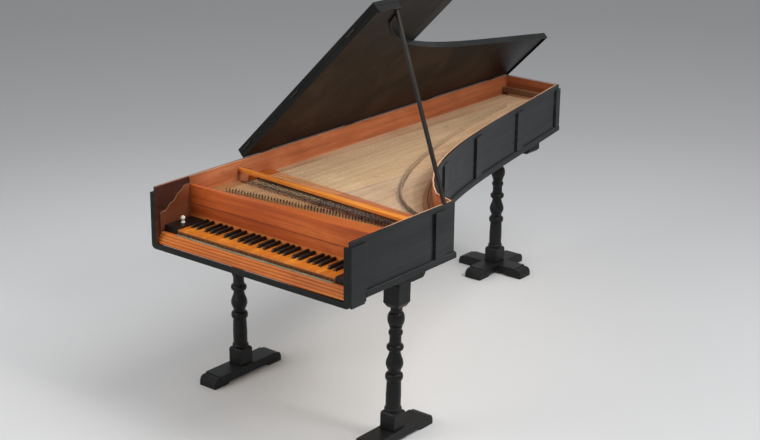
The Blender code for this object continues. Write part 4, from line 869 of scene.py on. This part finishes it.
def arcade(key, solid):
    """Front of one natural: a moulded arch of three steps under the plate."""
    left, right = key["front"][0] + KEY_GAP, key["front"][1] - KEY_GAP
    middle = (left + right) / 2
    turns = [(math.cos(math.pi * step / ARCH_STEPS), math.sin(math.pi * step / ARCH_STEPS))
             for step in range(ARCH_STEPS + 1)]
    edge = []
    for c, s in turns:
        reach = min((right - middle) / max(abs(c), 1e-6), (PLATE_FOOT - ARCH_FOOT) / max(s, 1e-6))
        edge.append((middle + reach * c, ARCH_FOOT + reach * s))
    rows = [[at(x, y, z) for x, z in edge] for y in (ARCADE_BACK, ARCADE_FACE)]
    for radius, depth in ARCH:
        rows.append([at(middle + radius * c, ARCADE_FACE + depth, ARCH_FOOT + ARCH_RISE * radius * s)
                     for c, s in turns])
    rows = [[solid.verts.new(point) for point in row] for row in rows]
    for first, second in zip(rows, rows[1:]):
        for index in range(ARCH_STEPS):
            solid.faces.new((first[index], second[index], second[index + 1], first[index + 1]))
    solid.faces.new(rows[-1])
    ends = [row[0] for row in rows] + [row[-1] for row in reversed(rows)]
    feet = [solid.verts.new((end.co.x, end.co.y, KEY_BOTTOM)) for end in ends]
    for index in range(len(ends) - 1):
        solid.faces.new((ends[index], feet[index], feet[index + 1], ends[index + 1]))
    solid.faces.new(feet)
    solid.faces.new((feet[0], *rows[0], feet[-1]))


def sharp_cap(key, solid):
    """Cap of one sharp, with a sloped front and a bevelled crest."""
    rings = []
    for place, foot, crest, height in SHARP_ROWS:
        top = LEVER_TOP + height
        half = ((foot, LEVER_TOP), (crest, top - SHARP_BEVEL), (crest - SHARP_BEVEL, top))
        section = (*half, *((-x, z) for x, z in reversed(half)))
        rings.append([at(key["middle"] + x, SHARP_FRONT + place, z) for x, z in section])
    loft(rings, solid)


def make_keys():
    """Key plates, arcaded fronts, sharps and levers, group by group."""
    for number, blocks in enumerate(KEY_GROUPS, 1):
        plates, fronts, levers, sharps = (bmesh.new() for _ in range(4))
        for key in keys_of(blocks):
            end = skewed(DAMPER_Y, key["middle"]) + 0.004
            left, right = key["tail"][0] + KEY_GAP, key["tail"][1] - KEY_GAP
            if key["kind"] == "N":
                natural_plate(key, plates)
                arcade(key, fronts)
                head = (key["front"][0] + KEY_GAP, key["front"][1] - KEY_GAP)
                box((head[0], KEY_FRONT + 0.0055, KEY_BOTTOM), (head[1], NOTCH, PLATE_FOOT), levers)
                start = NOTCH + 0.0001
                across([(start, KEY_BOTTOM), (end, KEY_BOTTOM), (end, LEVER_TOP), (COVER_END, LEVER_TOP),
                        (COVER_END, PLATE_FOOT), (start, PLATE_FOOT)],
                       max(left, head[0]), min(right, head[1]), levers)
            else:
                sharp_cap(key, sharps)
                box((left, SHARP_FRONT, KEY_BOTTOM), (right, end, LEVER_TOP - 0.0001), levers)
        body = f"keys_{number}"
        piece(f"natural_plates_{number}", plates, "boxwood", body, rounding=0.0007,
              stands_for=(f"naturals_{number}",))
        piece(f"natural_fronts_{number}", fronts, "arcade", body, smooth=30)
        piece(f"sharp_caps_{number}", sharps, "ebony", body, smooth=35,
              stands_for=(f"sharps_{number}",))
        piece(f"key_levers_{number}", levers, "pine", body, rounding=0.0004)


def wrapped(x, y, z, half, inner, outer, turns):
    """Rings of a strip wrapped about a hammer's head, at angles given in half turns."""
    section = ((-half, outer), (half, outer), (half, inner), (-half, inner))
    angles = [math.pi * turn for turn in turns]
    return [[at(x + side, y + r * math.cos(angle), z + r * math.sin(angle)) for side, r in section]
            for angle in angles]


def make_action():
    """Hammers with rolled heads and leather, and dampers with cloth, group by group."""
    for number, blocks in enumerate(KEY_GROUPS, 1):
        keys = keys_of(blocks)
        shanks, rolls, tips, slips, pads = (bmesh.new() for _ in range(5))
        ends = (keys[0]["tail"][0] + 0.002, keys[-1]["tail"][1] - 0.002)
        tube([at(x, skewed(HAMMER_Y, x), HAMMER_Z) for x in ends], 0.0016, 10, shanks)
        for x in (key["middle"] for key in keys):
            butt = skewed(HAMMER_Y, x)
            head = butt + HAMMER_ARM
            top = HAMMER_Z + HAMMER_RISE - 0.006
            neck = top - 0.0052
            across([(butt - 0.004, HAMMER_Z - 0.004), (butt + 0.012, HAMMER_Z - 0.004),
                    (head + 0.0025, HAMMER_Z - 0.0025), (head + 0.0025, neck), (head - 0.0025, neck),
                    (head - 0.0025, HAMMER_Z + 0.0025), (butt + 0.012, HAMMER_Z + 0.004),
                    (butt - 0.004, HAMMER_Z + 0.004)], x - 0.0025, x + 0.0025, shanks)
            turns = [2 * step / ROLL_STEPS for step in range(ROLL_STEPS)]
            loft(wrapped(x, head, top, 0.0045, 0.0038, 0.0052, turns), rolls, hoop=True)
            turns = [0.15 + 0.7 * step / LEATHER_STEPS for step in range(LEATHER_STEPS + 1)]
            loft(wrapped(x, head, top, 0.0042, 0.0054, 0.0068, turns), tips)
            y = skewed(DAMPER_Y, x)
            foot, neck = LEVER_TOP + 0.0003, DAMPER_HEAD - 0.0002
            box((x - 0.0045, y - 0.002, foot), (x + 0.0045, y + 0.002, neck), slips)
            for solid, half, (low_reach, low), (high_reach, high) in (
                    (slips, 0.0042, (0.0058, DAMPER_HEAD + 0.0032), (0.005, DAMPER_TOP)),
                    (pads, 0.0045, (0.0052, DAMPER_HEAD + 0.0002), (0.006, DAMPER_HEAD + 0.003))):
                across([(y - low_reach, low), (y + low_reach, low), (y + high_reach, high),
                        (y - high_reach, high)], x - half, x + half, solid)
        hammer_body, damper_body = f"hammer_group_{number}", f"damper_group_{number}"
        piece(f"hammer_shanks_{number}", shanks, "pine", hammer_body, smooth=40,
              stands_for=(f"hammers_{number}",))
        piece(f"hammer_heads_{number}", rolls, "paper", hammer_body, smooth=40)
        piece(f"hammer_leathers_{number}", tips, "leather", hammer_body, smooth=50)
        piece(f"damper_slips_{number}", slips, "slipwood", damper_body, rounding=0.0004,
              stands_for=(f"dampers_{number}",))
        piece(f"damper_pads_{number}", pads, "felt", damper_body, rounding=0.0005)


def bezier(points, t):
    """Point of a cubic Bezier curve."""
    weights = ((1 - t) ** 3, 3 * (1 - t) ** 2 * t, 3 * (1 - t) * t * t, t ** 3)
    return tuple(sum(w * p[axis] for w, p in zip(weights, points)) for axis in (0, 1))


def bridge_point(x):
    """Where the bridge crosses one x."""
    curve = [(CASE_WIDTH * a, BRIDGE_START + (CASE_LENGTH - BRIDGE_START) * b) for a, b in BRIDGE_SHARES]
    low, high = 0.0, 1.0
    for _ in range(40):
        middle = (low + high) / 2
        if bezier(curve, middle)[0] > x:
            low = middle
        else:
            high = middle
    return bezier(curve, low)


def hitch_curve():
    """Middle line of the hitchpin rail: along the return, the bentside and the tail."""
    reach = CASE_LENGTH - BENT_START[1]
    handles = [(CASE_WIDTH * a, BENT_START[1] + reach * b) for a, b in BENT_SHARES]
    curve = (BENT_START, *handles, (TAIL_WIDTH, CASE_LENGTH))
    bend = [bezier(curve, step / 40) for step in range(41)]
    outline = [(CASE_WIDTH, 0.3), (CASE_WIDTH, CHEEK_LENGTH), *bend, (0.0, CASE_LENGTH)]
    distance = LINED + HITCH_WIDTH / 2
    runs = [Vector(second) - Vector(first) for first, second in zip(outline, outline[1:])]
    normals = [Vector((-run.y, run.x)).normalized() for run in runs]
    corners = zip(outline, normals[:1] + normals, normals + normals[-1:])
    return [Vector(point) + (first + second) * (distance / (1 + first.dot(second)))
            for point, first, second in corners]


def hitch_point(start, direction, line):
    """Where a string's line meets the hitchpin rail's middle."""
    for first, second in zip(line, line[1:]):
        run = second - first
        cross = direction.x * run.y - direction.y * run.x
        if abs(cross) < 1e-9:
            continue
        offset = first - start
        along = (offset.x * run.y - offset.y * run.x) / cross
        share = (offset.x * direction.y - offset.y * direction.x) / cross
        if along > 0.03 and -1e-6 <= share <= 1 + 1e-6:
            return start + direction * along
    return start + direction * 0.1


def make_strings():
    """Two strings for each key, with their tuning, nut, bridge and hitch pins."""
    tuning, small, hitches, brass, steel = (bmesh.new() for _ in range(5))
    line = hitch_curve()
    count = len(KEYS)
    first, last = KEYS[0]["middle"], KEYS[-1]["middle"]
    for number, key in enumerate(KEYS):
        for side in (-1, 1):
            x = key["middle"] + STRING_GAP * side
            share = (x - first) / (last - first)
            nut = Vector((x, skewed(NUT_Y, x)))
            bridge = Vector(bridge_point(BRIDGE_REACH[0] + (BRIDGE_REACH[1] - BRIDGE_REACH[0]) * share))
            direction = (bridge - nut).normalized()
            hitch = hitch_point(bridge, direction, line)
            y = PIN_ROW + PIN_SLOPE * x + PIN_STEP * side + random.uniform(-0.0008, 0.0008)
            pin_x = key["middle"] + PIN_GAP * side
            lean = random.uniform(-0.0006, 0.0006)
            top = PLANK_TOP + random.uniform(0.0135, 0.0165)
            tube([at(pin_x, y, PLANK_TOP - 0.002), at(pin_x + lean, y - 0.0005, top - 0.006),
                  at(pin_x + lean, y - 0.0006, top - 0.0055), at(pin_x + lean, y - 0.0007, top)],
                 PIN_RADII, 8, tuning)
            radius = STRING_RADIUS - STRING_TAPER * number / count
            wire = brass if number < BRASS_SHARE * count else steel
            tube([at(pin_x + 0.0019, y, PLANK_TOP + 0.006), at(x, nut.y, NUT_TOP + radius),
                  at(*bridge, BRIDGE_TOP + radius), at(*hitch, HITCH_TOP + 0.0022)], radius, 5, wire)
            coil = []
            for step in range(8 * COIL_TURNS + 1):
                angle = 2 * math.pi * step / 8
                coil.append(at(pin_x + COIL_RADIUS * math.cos(angle), y + COIL_RADIUS * math.sin(angle),
                               PLANK_TOP + COIL[0] + (COIL[1] - COIL[0]) * step / (8 * COIL_TURNS)))
            tube(coil, radius, 4, wire)
            for place, level in ((nut + direction * 0.0015, NUT_TOP),
                                 (bridge - direction * 0.003, BRIDGE_TOP)):
                tube([at(place.x + 0.0009, place.y, level + z) for z in (-0.001, 0.0026)],
                     SMALL_PIN_RADIUS, 6, small)
            tube([at(*hitch, HITCH_TOP - 0.002), at(hitch.x + 0.0006, hitch.y + 0.001, HITCH_TOP + 0.0062)],
                 HITCH_PIN_RADIUS, 6, hitches)
    piece("tuning_pins", tuning, "iron", "case", smooth=40)
    piece("small_pins", small, "iron", "case", smooth=40)
    piece("hitch_pins", hitches, "iron", "case", smooth=40)
    piece("bass_strings", brass, "brass", "case", smooth=60)
    piece("treble_strings", steel, "steel", "case", smooth=60)


def make_small_parts():
    """Hooks along the nut, cloths under the keys' fronts and on the key slip, and the tail's cleat."""
    hooks = bmesh.new()
    for index in range(HOOKS):
        x = HOOK_START + HOOK_PITCH * index
        y = skewed(NUT_Y, x) - 0.0085
        tube([at(x + side, y + ahead, PLANK_TOP + rise) for side, ahead, rise, _ in HOOK_SHAPE],
             [radius for *_, radius in HOOK_SHAPE], 8, hooks)
    piece("nut_hooks", hooks, "hook", "case", smooth=50)

    left, right = CLOTH_ENDS
    felt = box((left, FRONT_CLOTH[0], FRONT_CLOTH_HEIGHT[0]), (right, FRONT_CLOTH[1], FRONT_CLOTH_HEIGHT[1]))
    strip = piece("front_cloth", felt, "cloth", "case", rounding=0.0003)
    felt = box((left, SLIP_CLOTH[0], SLIP_TOP + 0.0003), (right, SLIP_CLOTH[1], SLIP_TOP + 0.0022))
    ribbon = piece("slip_cloth", felt, "pale_cloth", "case", rounding=0.0005)

    cleat = box((LINED + 0.0006, CLEAT_REACH[0], SOUNDBOARD_TOP + 0.0105),
                (CLEAT_END, CLEAT_REACH[1], SOUNDBOARD_TOP + 0.036))
    piece("tail_cleat", cleat, "cleat", "case", rounding=0.0015)


def on_lid(x, y, z):
    """Point given in the lid's own frame: x up the lid from its hinge, y along it, z out of its top."""
    return at(0.0, LID_FRONT, LID_HINGE_HEIGHT) + Matrix.Rotation(-LID_ANGLE, 3, "Y") @ Vector((x, y, z))


def make_hinges():
    """Iron hinges of the lid, the flap and the fall board."""
    for number, share in enumerate(LID_HINGES, 1):
        y = share * (CASE_LENGTH - LID_FRONT)
        leaf = tube([on_lid(0.0, y + end, 0.0) for end in (-LID_KNUCKLE, LID_KNUCKLE)], 0.0026, 12)
        box((-0.0022, y - LID_LEAF, 0.003), (-0.0006, y + LID_LEAF, 0.019), leaf, on_lid)
        y += LID_FRONT
        plate = box((-0.002, y - LID_LEAF, RIM_TOP - 0.042), (-0.0004, y + LID_LEAF, RIM_TOP - 0.0016))
        piece(f"lid_hinge_leaf_{number}", leaf, "iron", "lid", smooth=40, rounding=0.0003)
        piece(f"lid_hinge_plate_{number}", plate, "iron", "case", smooth=40, rounding=0.0003)

    middle = LID_THICKNESS + FLAP_GAP / 2
    top = LID_THICKNESS + FLAP_GAP + FLAP_THICKNESS
    low, high = top - 0.0002, top + 0.0012
    edge = FLAP_LENGTH + 0.0003
    for number, share in enumerate(FLAP_HINGES, 1):
        x = share * CASE_WIDTH
        left, right = x - FLAP_LEAF, x + FLAP_LEAF
        ends = (x - FLAP_KNUCKLE, x + FLAP_KNUCKLE)
        knuckle = tube([on_lid(end, -0.0022, middle) for end in ends], 0.003, 12)
        piece(f"flap_hinge_knuckle_{number}", knuckle, "iron", "lid", smooth=40)
        leaf = tube([on_lid(end, edge, top + 0.001) for end in ends], 0.0028, 12)
        box((left, edge - 0.03, low), (right, edge - 0.001, high), leaf, on_lid)
        piece(f"fall_hinge_leaf_{number}", leaf, "iron", "flap", smooth=40, rounding=0.0003)
        plate = box((left, edge + 0.001, low), (right, edge + 0.03, high), place=on_lid)
        piece(f"fall_hinge_plate_{number}", plate, "iron", "fall", smooth=40, rounding=0.0003)


def make_floor():
    """Pale floor with a painted pool of light: lightest before the instrument and quietly darker with the
    distance.
    """
    f = Finish("floor_paper")
    far = f.node("VectorMath", {0: f.place, 1: FLOOR_LIGHT_CENTRE}, operation="DISTANCE").outputs["Value"]
    share = f.math("DIVIDE", far, FLOOR_REACH)
    f.colour = f.ramp(share, [(place, (grey, grey, grey)) for place, grey in FLOOR_LIGHT_FALLOFF])
    f.bump(f.noise(60.0, 3.0), 0.05, 0.0005)
    size = FLOOR_SIZE
    mesh = bpy.data.meshes.new("floor")
    corners = [(-size, -size, 0), (size, -size, 0), (size, size, 0), (-size, size, 0)]
    mesh.from_pydata(corners, [], [(0, 1, 2, 3)])
    mesh.materials.append(f.done(share, 0.9, 0.9, specular=0.1))
    floor = placed("floor", mesh)


def make_light():
    """Even surround, a large lamp over the cheek side, one from the front and a small one under the lid."""
    world = bpy.data.worlds.new("studio")
    world.use_nodes = True
    background = world.node_tree.nodes["Background"]
    background.inputs["Color"].default_value = (*SKY, 1.0)
    background.inputs["Strength"].default_value = SKY_STRENGTH
    bpy.context.scene.world = world
    for name, (place, target, size, power, spread, colour) in LAMPS.items():
        data = bpy.data.lights.new(name, "AREA")
        data.size = size
        data.energy = power
        data.color = colour
        data.spread = math.radians(spread)
        lamp = placed(name, data)
        lamp.location = place
        lamp.rotation_euler = (Vector(target) - Vector(place)).to_track_quat("-Z", "Y").to_euler()


random.seed(7)
make_camera()
dress_solids()
make_columns()
make_keys()
make_action()
make_strings()
make_small_parts()
make_hinges()
make_floor()
make_light()
bpy.context.scene.view_settings.view_transform = "Standard"
